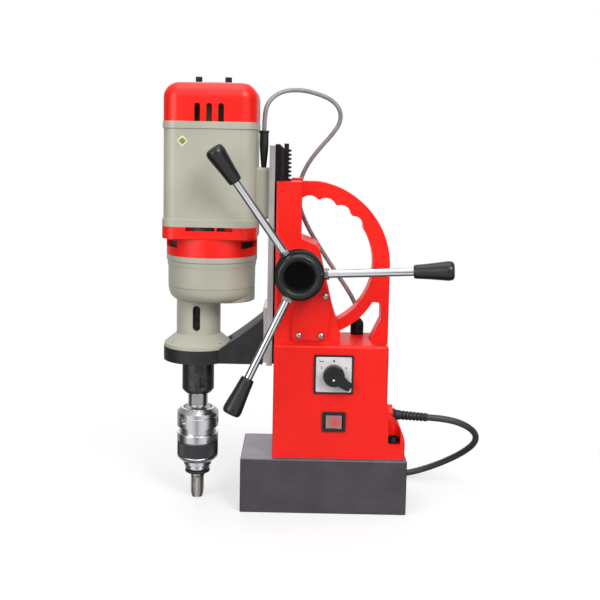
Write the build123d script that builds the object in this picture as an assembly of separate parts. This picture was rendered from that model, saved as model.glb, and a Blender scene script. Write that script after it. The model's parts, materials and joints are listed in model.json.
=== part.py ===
from build123d import *
import math
import os

# Magnetic drill press: an electromagnet base, a cast column with a D-handle, a dovetail
# carriage that carries the motor and its gearbox, and a rack feed turned by three levers.
# Millimetres, +Z up. The origin is the centre of the magnet's underside. The operator
# stands on the -Y side, and the spindle hangs over the -X end of the magnet.

# ---------------------------------------------------------------- driving sizes
# magnet
BASE_LENGTH = 220.0
BASE_WIDTH = 112.0
BASE_HEIGHT = 73.0
BASE_CHAMFER = 1.2
COIL_PITCH = 104.0
POLE_LENGTH = 44.0
POLE_WIDTH = 52.0
GROOVE_WIDTH = 15.0
COIL_HEIGHT = 36.0
POTTING_HEIGHT = 10.0
POTTING_RECESS = 0.4

# column casting
COLUMN_LEFT = -68.5
BOX_RIGHT = 82.5
BOX_WIDTH = 96.0
BOX_TOP = 225.0
BOX_WALL = 6.0
BOX_EDGE = 6.0
COLUMN_WIDTH = 84.0
COLUMN_TOP = 437.5
NECK_RIGHT = -35.0
FOOT_RIGHT = 107.3
FOOT_TOP = 88.0
FOOT_RISE = 42.0
HANDLE_X = -29.0
HANDLE_Z = 326.0
HANDLE_RADIUS = 112.5
HANDLE_THICKNESS = 30.0
GRIP_X = -24.5
GRIP_Z = 329.0
GRIP_RADIUS = 85.5
GRIP_SKIN = 14.5
FINGER_ANGLES = (90.5, 74.0, 57.5, 41.0)
FINGER_RADIUS = 14.0
FINGER_DEPTH = 4.5
LEG_THICKNESS = 10.5
LEG_LEFT = 18.5
CAVITY_LEFT = -38.0

# dovetail slide and rack
PLATE_THICKNESS = 7.5
PLATE_WIDTH = 70.0
PLATE_BOTTOM = 193.5
PLATE_TOP = 484.5
PLATE_GAP = 2.5
DOVETAIL_HEIGHT = 11.0
DOVETAIL_WIDTH = 58.0
DOVETAIL_SLOPE = 30.0
GIB_THICKNESS = 3.0
SLIDE_CLEARANCE = 0.08
SLOT_BOTTOM = 116.0
RACK_WIDTH = 16.0
RACK_BODY = 6.0
TOOTH_MODULE = 1.75
PINION_TEETH = 17
PRESSURE_ANGLE = 20.0
BACKLASH = 0.25

# feed
FEED_Z = 320.5
FEED_SHAFT_RADIUS = 9.0
PINION_WIDTH = 15.0
BUSH_WALL = 3.0
COVER_THICKNESS = 6.0
HUB_RADIUS = 32.0
HUB_LENGTH = 26.0
HUB_CAP_RADIUS = 29.0
HUB_CAP_LENGTH = 14.0
LEVER_ANGLE = 4.3
LEVER_CONE = 12.5
LEVER_RADIUS = 5.6
LEVER_REACH = 150.0
GRIP_LENGTH = 50.0
GRIP_NEAR_RADIUS = 8.7
GRIP_FAR_RADIUS = 12.4

# carriage
SPINDLE_OFFSET = 93.5
ARM_RADIUS = 46.5
ARM_BOTTOM = 195.0
ARM_THICKNESS = 18.0
ARM_WIDTH = 70.0
GUSSET_TOP = 257.0
GUSSET_SAG = 1.8
SEAT_THICKNESS = 5.0
NECK_RADIUS = 29.5
NECK_FLANGE_RADIUS = 45.8
NECK_CONE_TOP = 231.0
NECK_WINDOW_WIDTH = 10.0
NECK_WINDOW_BOTTOM = 236.6
NECK_WINDOW_TOP = 270.8
GEARBOX_BOTTOM = 276.6
GEARBOX_SPLIT = 296.0
GEARBOX_TOP = 338.0
GEARBOX_RADIUS = 60.5
GEARBOX_WALL = 5.5
MOTOR_HALF = 59.5
MOTOR_CORNER = 18.0
FAN_HOUSING_TOP = 377.5
FAN_BAND_BOTTOM = 362.0
VENT_ANGLE = 27.0
VENT_HALF = 20.0
CASING_TOP = 512.0
CASING_RIM = 14.0
CAP_TOP = 562.0
CAP_CORNER = 20.0
CAP_SCREW_HEAD = 8.0
CAP_PAD = 1.4
STATOR_RADIUS = 55.0

# gears inside the gearbox
FIRST_MODULE = 1.25
FIRST_PINION_TEETH = 10
FIRST_WHEEL_TEETH = 34
SECOND_MODULE = 1.75
SECOND_PINION_TEETH = 10
SECOND_WHEEL_TEETH = 30
MOTOR_OFFSET = 17.3
GEAR_BACKLASH = 0.30

# spindle and tool
SPINDLE_RADIUS = 21.5
SPINDLE_BOTTOM = 148.0
UPPER_JOURNAL_RADIUS = 12.5
LOWER_JOURNAL_RADIUS = 17.5
TAPER_LARGE_RADIUS = 12.0
TAPER_SMALL_RADIUS = 9.9
TAPER_LENGTH = 86.0
ARBOR_RADIUS = 13.3
CHUCK_RADIUS = 28.1
RING_TOP = 127.0
RING_BOTTOM = 101.5
SLEEVE_TOP = 92.5
SLEEVE_BOTTOM = 53.5
NOSE_RADIUS = 17.2
NOSE_BOTTOM = 39.5
TAP_RADIUS = 9.8
TAP_TIP = 0.8

# electrics
SWITCH_X = 10.7
SWITCH_Z = 187.0
SWITCH_PLATE = 47.0
SWITCH_FRAME = 52.0
ROCKER_X = 12.2
ROCKER_Z = 123.3
ROCKER_BEZEL_X = 31.0
ROCKER_BEZEL_Z = 26.5
GLAND_X = 44.8
GLAND_Y = 36.0
GLAND_RADIUS = 9.4
GLAND_HEIGHT = 22.0
LEAD_DIAMETER = 6.0
CORD_DIAMETER = 9.0
CORD_EXIT_Z = 121.0
BOOT_LENGTH = 49.0
COIL_DIAMETER = 126.0
COIL_BORE = 70.0
COIL_DEPTH = 28.0
SIDE_SCREW_Z = 153.5
LOBE_RADIUS = 41.0
FIT = 0.05

# ---------------------------------------------------------------- worked-out places
FRONT = -BOX_WIDTH / 2
COLUMN_FRONT = -COLUMN_WIDTH / 2
PLATE_RIGHT = COLUMN_LEFT - PLATE_GAP
PLATE_LEFT = PLATE_RIGHT - PLATE_THICKNESS
SPINDLE_X = PLATE_LEFT - SPINDLE_OFFSET
MOTOR_X = SPINDLE_X + MOTOR_OFFSET
DOVETAIL_FACE = PLATE_RIGHT + DOVETAIL_HEIGHT
RACK_TIP = DOVETAIL_FACE + RACK_BODY + 2.25 * TOOTH_MODULE
PITCH_RADIUS = TOOTH_MODULE * PINION_TEETH / 2
FEED_X = RACK_TIP - TOOTH_MODULE + PITCH_RADIUS
PINION_TIP = PITCH_RADIUS + TOOTH_MODULE
HUB_BACK = FRONT - 8.0
HUB_FRONT = HUB_BACK - HUB_LENGTH
ARM_TOP = ARM_BOTTOM + ARM_THICKNESS


# ---------------------------------------------------------------- helpers
def slab(x0, x1, y0, y1, z0, z1):
    """Block between two opposite corners."""
    centre = Pos((x0 + x1) / 2, (y0 + y1) / 2, (z0 + z1) / 2)
    return centre * Box(x1 - x0, y1 - y0, z1 - z0)


def post(radius, x, y, z0, z1):
    """Upright cylinder."""
    return Pos(x, y, (z0 + z1) / 2) * Cylinder(radius, z1 - z0)


def pin_y(radius, x, z, y0, y1):
    """Cylinder along Y."""
    return Pos(x, (y0 + y1) / 2, z) * Rot(90, 0, 0) * Cylinder(radius, y1 - y0)


def pin_x(radius, y, z, x0, x1):
    """Cylinder along X."""
    return Pos((x0 + x1) / 2, y, z) * Rot(0, 90, 0) * Cylinder(radius, x1 - x0)


def tube(outer, inner, x, y, z0, z1):
    """Upright ring."""
    return post(outer, x, y, z0, z1) - post(inner, x, y, z0 - 1, z1 + 1)


def side_prism(points, y0, y1):
    """Outline in X and Z, carried from y0 to y1."""
    face = make_face(Plane.XZ.offset(-y1) * Polyline(*points, close=True))
    return extrude(face, y1 - y0, dir=(0, -1, 0))


def side_profile(edges, y0, y1):
    """Closed outline in X and Z made of straight and curved edges, carried from y0 to y1."""
    face = make_face(Plane.XZ.offset(-y1) * (Curve() + edges))
    return extrude(face, y1 - y0, dir=(0, -1, 0))


def turned(points, x, y):
    """Solid of revolution about the upright line through x, y, from (radius, height) points."""
    profile = make_face(Plane.XZ * Polyline(*points, close=True))
    return Pos(x, y, 0) * revolve(profile, Axis.Z)


def square_block(half, corner, x, z0, z1):
    """Upright block with a rounded square plan, centred on y = 0."""
    plan = Pos(x, 0, z0) * RectangleRounded(2 * half, 2 * half, corner)
    return extrude(plan, z1 - z0)


def racetrack(length, width, grow, z0, z1):
    """Upright block with a rounded oblong plan, grown by a margin, centred on the origin."""
    plan = Pos(0, 0, z0) * RectangleRounded(length + 2 * grow, width + 2 * grow, 6.0 + grow)
    return extrude(plan, z1 - z0)


def group(name, solids):
    """Several separate solids that share one node."""
    result = Compound(children=list(solids))
    result.label = name
    return result


def gear_outline(module, teeth, angle_deg, thin, addendum=1.0, dedendum=1.25):
    """Closed outline of an involute gear with its first tooth on the +X side.

    Each flank is an involute of the base circle, and thin is the tooth thickness that is
    taken off for backlash."""
    pitch = module * teeth / 2
    pressure = math.radians(angle_deg)
    base = pitch * math.cos(pressure)
    tip = pitch + addendum * module
    root = pitch - dedendum * module
    half_tooth = (math.pi * module / 2 - thin) / 2 / pitch + math.tan(pressure) - pressure
    start = max(base, root)
    flank = []
    for step in range(6):
        radius = start + (tip - start) * step / 5
        roll = math.sqrt(max((radius / base) ** 2 - 1, 0.0))
        flank.append((radius, half_tooth - (roll - math.atan(roll))))
    points = []
    for tooth in range(teeth):
        turn = 2 * math.pi * tooth / teeth
        low = [(root, flank[0][1])] if root < start - 0.01 else []
        rising = low + flank
        for radius, angle in rising:
            points.append((radius * math.cos(turn - angle), radius * math.sin(turn - angle)))
        for radius, angle in reversed(rising):
            points.append((radius * math.cos(turn + angle), radius * math.sin(turn + angle)))
    return points


def upright_gear(module, teeth, x, y, z0, z1, first_tooth_deg, addendum):
    """Spur gear about an upright axis, with one tooth turned to a given angle."""
    points = gear_outline(module, teeth, 25.0, GEAR_BACKLASH / 2, addendum, addendum + 0.3)
    gear = upright_prism(points, 0, z1 - z0)
    return Pos(x, y, z0) * Rot(0, 0, first_tooth_deg) * gear


def cap_screw(head_radius, head, shank_radius, shank, socket):
    """Socket head screw with its shank down from z = 0 and its head up."""
    screw = post(head_radius, 0, 0, 0, head) + post(shank_radius, 0, 0, -shank, 0.0)
    key = extrude(Pos(0, 0, head * 0.45) * RegularPolygon(socket, 6), head)
    return screw - key


def pan_screw(head_radius, head, shank_radius, shank):
    """Domed cross-recess screw with its shank down from z = 0."""
    dome = turned([(0, 0), (head_radius, 0), (head_radius * 0.92, head * 0.55),
                   (head_radius * 0.6, head * 0.92), (0, head)], 0, 0)
    cross = slab(-head_radius * 0.55, head_radius * 0.55, -0.5, 0.5, head * 0.5, head * 2)
    cross += slab(-0.5, 0.5, -head_radius * 0.55, head_radius * 0.55, head * 0.5, head * 2)
    return dome - cross + post(shank_radius, 0, 0, -shank, 0.0)


def facing_front(shape, x, y, z):
    """Turns a +Z shape to point at the operator (-Y) and places it."""
    return Pos(x, y, z) * Rot(90, 0, 0) * shape


def facing_back(shape, x, y, z):
    """Turns a +Z shape to point at +Y and places it."""
    return Pos(x, y, z) * Rot(-90, 0, 0) * shape


def facing_left(shape, x, y, z):
    """Turns a +Z shape to point at -X and places it."""
    return Pos(x, y, z) * Rot(0, -90, 0) * shape


def facing_right(shape, x, y, z):
    """Turns a +Z shape to point at +X and places it."""
    return Pos(x, y, z) * Rot(0, 90, 0) * shape


def places_on_circle(x, radius, angles_deg):
    """Points round an upright axis at the given angles."""
    turns = [math.radians(angle) for angle in angles_deg]
    return [(x + radius * math.cos(turn), radius * math.sin(turn)) for turn in turns]


# ---------------------------------------------------------------- magnet base
COIL_CENTRES = (-COIL_PITCH / 2, COIL_PITCH / 2)
POTTING_TOP = POTTING_RECESS + POTTING_HEIGHT
COIL_TOP = POTTING_TOP + COIL_HEIGHT


def coil_ring(x, z0, z1):
    """Oblong ring that fills the groove round one magnet pole."""
    outer = racetrack(POLE_LENGTH, POLE_WIDTH, GROOVE_WIDTH, z0, z1)
    inner = racetrack(POLE_LENGTH, POLE_WIDTH, 0.0, z0 - 1, z1 + 1)
    return Pos(x, 0, 0) * (outer - inner)


FOOT_BOLT_X = FOOT_RIGHT - 14.5
BASE_BOLTS = ((FOOT_BOLT_X, -37.0), (FOOT_BOLT_X, 37.0), (-16.0, -28.0), (-16.0, 28.0))
BASE_BOLT_RADIUS = 4.0
BASE_BOLT_DEPTH = 20.0
FOOT_PAD = 20.0
FLOOR_PAD = 8.0
BOLT_POCKET = 8.2


def magnet_body():
    block = slab(-BASE_LENGTH / 2, BASE_LENGTH / 2, -BASE_WIDTH / 2, BASE_WIDTH / 2, 0, BASE_HEIGHT)
    block = chamfer(block.edges(), BASE_CHAMFER)
    for x in COIL_CENTRES:
        block -= coil_ring(x, -1, COIL_TOP)
    for x, y in BASE_BOLTS:
        block -= post(BASE_BOLT_RADIUS, x, y, BASE_HEIGHT - BASE_BOLT_DEPTH, BASE_HEIGHT + 1)
    return block


def magnet_coils():
    return group("magnet_coils", [coil_ring(x, POTTING_TOP, COIL_TOP) for x in COIL_CENTRES])


def magnet_potting():
    return group("magnet_potting", [coil_ring(x, POTTING_RECESS, POTTING_TOP) for x in COIL_CENTRES])


def base_bolts():
    bolts = []
    for x, y in BASE_BOLTS:
        pad = FOOT_PAD if x > BOX_RIGHT else FLOOR_PAD
        screw = cap_screw(6.5, 8.0, BASE_BOLT_RADIUS, pad + BASE_BOLT_DEPTH - 2, 3.0)
        bolts.append(Pos(x, y, BASE_HEIGHT + pad) * screw)
    return group("base_bolts", bolts)


# ---------------------------------------------------------------- column casting
def dovetail_outline(neck_x, wide_x, half_wide, extra_back):
    """Half widths of the dovetail at its neck and at its wide face; +Y side may be wider."""
    narrow = half_wide - (wide_x - neck_x) * math.tan(math.radians(DOVETAIL_SLOPE))
    return [(neck_x, -narrow), (wide_x, -half_wide), (wide_x, half_wide + extra_back),
            (neck_x, narrow + extra_back)]


def upright_prism(points, z0, z1):
    """Outline in X and Y, carried from z0 to z1."""
    face = make_face(Pos(0, 0, z0) * Polyline(*points, close=True))
    return extrude(face, z1 - z0, dir=(0, 0, 1))


SLOT_FACE = DOVETAIL_FACE + 0.5
CHANNEL_FACE = RACK_TIP + 1.0
GIB_ROOM = GIB_THICKNESS / math.cos(math.radians(DOVETAIL_SLOPE)) + 2 * SLIDE_CLEARANCE


def grown_dovetail(x0, x1, margin, extra_back):
    """Dovetail outline between two X stations, with a margin on both flanks."""
    half = DOVETAIL_WIDTH / 2 + (x1 - DOVETAIL_FACE) * math.tan(math.radians(DOVETAIL_SLOPE))
    return dovetail_outline(x0, x1, half + margin, extra_back)


def neck_edge():
    """The column's sloping right edge, from above the box up to the neck."""
    return [(GRIP_X + 34.5, GRIP_Z - 65.0), (-6.8, FEED_Z + 12.0), (-12.0, FEED_Z + 34.0),
            (NECK_RIGHT, FEED_Z + 43.0)]


def grip_boundary():
    """The D-handle's inner opening: a disc with four finger grooves, cut off by the column."""
    opening = pin_y(GRIP_RADIUS, GRIP_X, GRIP_Z, -COLUMN_WIDTH, COLUMN_WIDTH)
    reach = GRIP_RADIUS + FINGER_DEPTH - FINGER_RADIUS
    for angle in FINGER_ANGLES:
        x = GRIP_X + reach * math.cos(math.radians(angle))
        z = GRIP_Z + reach * math.sin(math.radians(angle))
        opening += pin_y(FINGER_RADIUS, x, z, -COLUMN_WIDTH, COLUMN_WIDTH)
    far = HANDLE_X + HANDLE_RADIUS
    open_side = [(NECK_RIGHT, COLUMN_TOP), (far, COLUMN_TOP), (far, BOX_TOP),
                 (GRIP_X + 45.0, GRIP_Z - 89.0)] + neck_edge()
    return opening & side_prism(open_side, -COLUMN_WIDTH, COLUMN_WIDTH)


def d_handle():
    """The carrying handle: the ring's outer arc, its lower arc and the leg down to the box."""
    half = HANDLE_THICKNESS / 2
    disc = pin_y(HANDLE_RADIUS, HANDLE_X, HANDLE_Z, -half, half)
    keep = slab(NECK_RIGHT - 5, HANDLE_X + HANDLE_RADIUS, -half, half, BOX_TOP - 5, COLUMN_TOP)
    leg = slab(GRIP_X + 70, HANDLE_X + HANDLE_RADIUS, -half, half, BOX_TOP - 5, HANDLE_Z)
    ring = (disc & keep) + leg
    corner = HANDLE_X + HANDLE_RADIUS - LEG_THICKNESS
    lower = slab(LEG_LEFT, corner, -COLUMN_WIDTH, COLUMN_WIDTH, BOX_TOP, HANDLE_Z - 48)
    lower = fillet(lower.edges().filter_by(Axis.Y).sort_by(Axis.Z)[-2:], 7.0)
    lower -= pin_y(GRIP_RADIUS + GRIP_SKIN, GRIP_X, GRIP_Z, -COLUMN_WIDTH, COLUMN_WIDTH)
    brace = [(corner + 1, BOX_TOP - 1), (corner - 14, BOX_TOP - 1), (corner + 1, BOX_TOP + 32)]
    return ring - (lower - side_prism(brace, -COLUMN_WIDTH, COLUMN_WIDTH))


def column_block():
    """The upright part that holds the slide and the feed, narrower than the box."""
    outline = [(COLUMN_LEFT, BOX_TOP - 10), (COLUMN_LEFT, COLUMN_TOP), (NECK_RIGHT, COLUMN_TOP),
               *reversed(neck_edge()), (LEG_LEFT, GRIP_Z - 89.0), (LEG_LEFT, BOX_TOP - 10)]
    half = COLUMN_WIDTH / 2
    block = side_prism(outline, -half, half)
    corner = block.edges().filter_by(Axis.Y).filter_by_position(Axis.Z, FEED_Z + 11, FEED_Z + 35)
    block = fillet(corner.sort_by(Axis.Z)[-1:], 12.0)
    rims = block.edges().filter_by(Axis.Z).filter_by_position(Axis.X, COLUMN_LEFT - 1, NECK_RIGHT + 1)
    return fillet(rims, 3.0)


SHELL_LEFT = CAVITY_LEFT
SHELL_TOP = BOX_TOP - BOX_WALL
SHELL_BOTTOM = BASE_HEIGHT + FLOOR_PAD
COVER_PLATE = 3.0
COVER_MARGIN = 4.0
REBATE_BACK = BOX_WIDTH / 2


def box_body():
    """The switch box and its flared foot, before it is hollowed."""
    half = BOX_WIDTH / 2
    straight = slab(COLUMN_LEFT, BOX_RIGHT, -half, half, BASE_HEIGHT, BOX_TOP)
    upright = straight.edges().filter_by(Axis.Z).sort_by(Axis.X)
    straight = fillet(upright[:2], 3.0)
    straight = fillet(straight.edges().filter_by(Axis.Z).sort_by(Axis.X)[-2:], 5.0)
    straight = fillet(straight.faces().sort_by(Axis.Z)[-1].edges(), BOX_EDGE - 2.0)
    flare = side_profile(foot_edges(), -half, half)
    uprights = flare.edges().filter_by(Axis.Z).filter_by_position(Axis.X, FOOT_RIGHT - 1, FOOT_RIGHT + 1)
    flare = fillet(uprights, 4.0)
    return straight + flare


def foot_edges():
    """Side view of the flared foot: a convex curve that runs out into the box's side."""
    high = FOOT_TOP + FOOT_RISE
    inside = BOX_RIGHT - 8.0
    frame = Polyline((FOOT_RIGHT, FOOT_TOP), (FOOT_RIGHT, BASE_HEIGHT), (inside, BASE_HEIGHT),
                     (inside, high + 20.0), (BOX_RIGHT, high + 20.0), (BOX_RIGHT + 4.5, high - 4.0))
    middle = (FOOT_RIGHT - 6.3, FOOT_TOP + 25.0)
    return frame + ThreePointArc((BOX_RIGHT + 4.5, high - 4.0), middle, (FOOT_RIGHT, FOOT_TOP))


def column():
    body = box_body() + column_block() + d_handle()
    body -= grip_boundary()
    # cable boss on the right, and the saddle that guides the motor lead over the top
    body += pin_x(12.0, 0, CORD_EXIT_Z + 1.5, BOX_RIGHT - 4, BOX_RIGHT + 11)
    body += slab(-50, NECK_RIGHT, 14, COLUMN_WIDTH / 2, COLUMN_TOP - 4, COLUMN_TOP + 3)
    # feed boss round the pinion shaft
    body += pin_y(31.0, FEED_X, FEED_Z, COLUMN_FRONT, COLUMN_WIDTH / 2)
    # dovetail way, rack channel and gib room, open at the top
    flanks = grown_dovetail(COLUMN_LEFT - 1, SLOT_FACE, SLIDE_CLEARANCE, GIB_ROOM)
    body -= upright_prism(flanks, SLOT_BOTTOM, COLUMN_TOP + 10)
    channel = RACK_WIDTH / 2 + 1.5
    body -= slab(SLOT_FACE - 1, CHANNEL_FACE, -channel, channel, SLOT_BOTTOM, COLUMN_TOP + 10)
    # pinion chamber from the front, bush seat at the back
    body -= pin_y(PINION_TIP + 1.5, FEED_X, FEED_Z, COLUMN_FRONT - 1, PINION_WIDTH / 2 + 1.5)
    body -= pin_y(FEED_SHAFT_RADIUS + BUSH_WALL, FEED_X, FEED_Z, 0, COLUMN_WIDTH)
    # switch box hollow and the rebate for its rear cover
    body -= slab(SHELL_LEFT, BOX_RIGHT - BOX_WALL, FRONT + BOX_WALL, BOX_WIDTH, SHELL_BOTTOM, SHELL_TOP)
    body -= rear_plate(0.3, BOX_WIDTH)
    for x, z in cover_screw_places():
        body += pin_y(5.5, x, z, REBATE_BACK - COVER_PLATE - 14, REBATE_BACK - COVER_PLATE) & slab(
            SHELL_LEFT - 3, BOX_RIGHT - 3, 0, BOX_WIDTH, SHELL_BOTTOM - 3, SHELL_TOP + 3)
        body -= pin_y(2.0, x, z, REBATE_BACK - COVER_PLATE - 12, BOX_WIDTH)
    # foot bolts stand in pockets that open through the flared foot
    for x, y in BASE_BOLTS:
        pad = FOOT_PAD if x > BOX_RIGHT else FLOOR_PAD
        if x > BOX_RIGHT:
            body -= post(BOLT_POCKET, x, y, BASE_HEIGHT + pad, BOX_TOP)
            y0, y1 = sorted((y, math.copysign(BOX_WIDTH, y)))
            body -= slab(x - BOLT_POCKET, x + BOLT_POCKET, y0, y1, BASE_HEIGHT + pad, BOX_TOP)
        body -= post(BASE_BOLT_RADIUS, x, y, BASE_HEIGHT - 1, BASE_HEIGHT + pad + 1)
    # switch cut-outs, gland hole and cord hole
    body -= pin_y(11.0, SWITCH_X, SWITCH_Z, FRONT - 1, FRONT + BOX_WALL + 1)
    body -= slab(ROCKER_X - 13.6, ROCKER_X + 13.6, FRONT - 1, FRONT + BOX_WALL + 1,
                 ROCKER_Z - 11, ROCKER_Z + 11)
    body -= post(6.0, GLAND_X, GLAND_Y, SHELL_TOP - 1, BOX_TOP + 1)
    body -= pin_x(6.5, 0, CORD_EXIT_Z, BOX_RIGHT - BOX_WALL - 1, BOX_RIGHT + 20)
    body -= pin_x(2.0, 0, SIDE_SCREW_Z, BOX_RIGHT - BOX_WALL - 1, BOX_RIGHT + 1)
    for x, y, z in feed_screw_places():
        body -= pin_y(2.0, x, z, COLUMN_FRONT - 1, COLUMN_FRONT + 12)
    for z in gib_screw_places():
        body -= pin_y(2.5, gib_middle(), z, 20, COLUMN_WIDTH)
    return body


def rear_plate(margin, back):
    """The rear cover's outline, from its seat to a given Y."""
    return slab(SHELL_LEFT - COVER_MARGIN - margin, BOX_RIGHT - BOX_WALL + COVER_MARGIN - 1.5 + margin,
                REBATE_BACK - COVER_PLATE, back,
                SHELL_BOTTOM - COVER_MARGIN - margin, SHELL_TOP + COVER_MARGIN - 2.5 + margin)


def cover_screw_places():
    inset = 5.0
    left = SHELL_LEFT + inset
    right = BOX_RIGHT - BOX_WALL - inset
    return [(left, SHELL_BOTTOM + inset), (right, SHELL_BOTTOM + inset), (left, SHELL_TOP - inset),
            (right, SHELL_TOP - inset)]


def rear_cover():
    plate = rear_plate(0.0, REBATE_BACK)
    plate = fillet(plate.edges().filter_by(Axis.Y), 3.0)
    for x, z in cover_screw_places():
        plate -= pin_y(2.2, x, z, 0, BOX_WIDTH)
    for row in range(4):
        z = SHELL_BOTTOM + 50 + 9 * row
        plate -= slab(-5, 45, REBATE_BACK - 10, BOX_WIDTH, z, z + 3)
    return plate


# ---------------------------------------------------------------- feed cover and bushes
def feed_screw_places():
    """Screw places on the feed cover: two low down and one at the upper right."""
    return [(FEED_X + 1.0, FRONT, FEED_Z - 83.0), (FEED_X + 29.5, FRONT, FEED_Z - 83.0),
            (FEED_X + 34.5, FRONT, FEED_Z - 31.0)]


def feed_cover():
    """Raised plate round the hub, with a tail that runs down the column."""
    back = COLUMN_FRONT
    tail = [(FEED_X - 8.5, FEED_Z), (FEED_X - 8.5, FEED_Z - 89), (FEED_X + 36.0, FEED_Z - 89),
            (FEED_X + 42.0, FEED_Z - 50), (FEED_X + 31.0, FEED_Z)]
    plate = side_prism(tail, back - COVER_THICKNESS, back)
    low = plate.edges().filter_by(Axis.Y).sort_by(Axis.Z)[:2]
    plate = fillet(low, 7.0)
    plate += pin_y(31.5, FEED_X, FEED_Z, back - COVER_THICKNESS, back)
    plate += pin_y(20.0, FEED_X, FEED_Z, HUB_BACK + 0.6, back)
    plate += pin_y(PINION_TIP + 1.5, FEED_X, FEED_Z, back - 1, -PINION_WIDTH / 2 - 2)
    plate -= pin_y(FEED_SHAFT_RADIUS + BUSH_WALL, FEED_X, FEED_Z, -100, 0)
    for x, y, z in feed_screw_places():
        plate -= pin_y(2.2, x, z, -100, 0)
        plate -= pin_y(4.6, x, z, -100, back - COVER_THICKNESS + 1.2)
    return plate


def feed_bushes():
    outer = FEED_SHAFT_RADIUS + BUSH_WALL
    inner = FEED_SHAFT_RADIUS + FIT
    spans = [(HUB_BACK + 0.6, -PINION_WIDTH / 2 - 2), (PINION_WIDTH / 2 + 2, COLUMN_WIDTH / 2)]
    bushes = []
    for y0, y1 in spans:
        ring = pin_y(outer, FEED_X, FEED_Z, y0, y1) - pin_y(inner, FEED_X, FEED_Z, y0 - 1, y1 + 1)
        bushes.append(ring)
    return group("feed_bushes", bushes)


def panel_screws():
    """Pan head screws that are all alike: rear cover, feed cover and cord clamp."""
    screw = pan_screw(4.0, 2.6, 2.0, 12.0)
    seat = COLUMN_FRONT - COVER_THICKNESS + 1.2
    screws = [facing_back(screw, x, REBATE_BACK, z) for x, z in cover_screw_places()]
    screws += [facing_front(screw, x, seat, z) for x, y, z in feed_screw_places()]
    screws.append(facing_right(pan_screw(3.0, 2.6, 2.0, BOX_WALL), BOX_RIGHT, 0, SIDE_SCREW_Z))
    return group("panel_screws", screws)


# ---------------------------------------------------------------- gib
def gib_screw_places():
    return [SLOT_BOTTOM + 30, SLOT_BOTTOM + 155, COLUMN_TOP - 30]


def gib_middle():
    return (COLUMN_LEFT + SLOT_FACE) / 2


def gib():
    """Brass strip that lies against the +Y flank of the dovetail and takes up its wear."""
    half = DOVETAIL_WIDTH / 2
    slope = math.tan(math.radians(DOVETAIL_SLOPE))
    low_x = COLUMN_LEFT + 0.5
    high_x = DOVETAIL_FACE - 0.3
    inner_low = half - (DOVETAIL_FACE - low_x) * slope + SLIDE_CLEARANCE
    inner_high = half - (DOVETAIL_FACE - high_x) * slope + SLIDE_CLEARANCE
    across = GIB_THICKNESS / math.cos(math.radians(DOVETAIL_SLOPE))
    outline = [(low_x, inner_low), (high_x, inner_high), (high_x, inner_high + across),
               (low_x, inner_low + across)]
    return upright_prism(outline, SLOT_BOTTOM + 6, COLUMN_TOP - 2)


def gib_screws():
    """Set screws that press the gib, each with its lock nut outside the column."""
    tip = DOVETAIL_WIDTH / 2 - (DOVETAIL_FACE - gib_middle()) * math.tan(math.radians(DOVETAIL_SLOPE))
    start = tip + GIB_THICKNESS / math.cos(math.radians(DOVETAIL_SLOPE)) + 1.6
    screws = []
    for z in gib_screw_places():
        back = (BOX_WIDTH if z < BOX_TOP else COLUMN_WIDTH) / 2
        screw = pin_y(2.5, gib_middle(), z, start, back + 7)
        nut = Pos(gib_middle(), back + 4, z) * Rot(90, 0, 0) * extrude(RegularPolygon(4.6, 6), 4)
        slot = slab(gib_middle() - 3, gib_middle() + 3, back + 5.6, back + 9, z - 0.5, z + 0.5)
        screws.append(screw + nut - slot)
    return group("gib_screws", screws)


# ---------------------------------------------------------------- switches and electrics
KNOB_FACE = FRONT - 3.5


def cam_switch_body():
    """Rotary switch block behind the front wall, with its square spindle."""
    depth = FRONT + BOX_WALL
    block = slab(SWITCH_X - 20, SWITCH_X + 20, depth, depth + 34, SWITCH_Z - 20, SWITCH_Z + 20)
    block = fillet(block.edges().filter_by(Axis.Y), 3.0)
    block += pin_y(10.6, SWITCH_X, SWITCH_Z, FRONT - 0.2, depth + 1)
    return block - pin_y(3.6, SWITCH_X, SWITCH_Z, FRONT - 5, depth + 12)


def cam_switch_frame():
    half = SWITCH_FRAME / 2
    frame = slab(SWITCH_X - half, SWITCH_X + half, FRONT - 2.4, FRONT, SWITCH_Z - half, SWITCH_Z + half)
    frame = fillet(frame.edges().filter_by(Axis.Y), 2.0)
    inner = SWITCH_PLATE / 2
    frame -= slab(SWITCH_X - inner, SWITCH_X + inner, FRONT - 4, FRONT - 1.0,
                  SWITCH_Z - inner, SWITCH_Z + inner)
    return frame - pin_y(11.0, SWITCH_X, SWITCH_Z, FRONT - 4, FRONT + 1)


def cam_switch_plate():
    half = SWITCH_PLATE / 2 - 0.2
    plate = slab(SWITCH_X - half, SWITCH_X + half, KNOB_FACE, FRONT - 1.0, SWITCH_Z - half, SWITCH_Z + half)
    plate = fillet(plate.edges().filter_by(Axis.Y), 1.5)
    return plate - pin_y(11.0, SWITCH_X, SWITCH_Z, FRONT - 5, FRONT + 1)


def switch_knob():
    """Round knob with a pointer lever to the lower right, on its own spindle."""
    reach = 26.5
    knob = pin_y(14.0, SWITCH_X, SWITCH_Z, KNOB_FACE - 11.5, KNOB_FACE - 0.5)
    arm = upright_prism([(0, -9), (0, 9), (reach, 5.0), (reach, -5.0)], 0, 8.5)
    arm = fillet(arm.edges().filter_by(Axis.Z).sort_by(Axis.X)[-2:], 2.5)
    arm = Pos(SWITCH_X, KNOB_FACE - 3.0, SWITCH_Z) * Rot(90, 0, 0) * Rot(0, 0, -35.5) * arm
    spindle = pin_y(3.5, SWITCH_X, SWITCH_Z, KNOB_FACE - 1, FRONT + BOX_WALL + 10)
    return fillet(knob.faces().sort_by(Axis.Y)[0].edges(), 1.5) + arm + spindle


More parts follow.
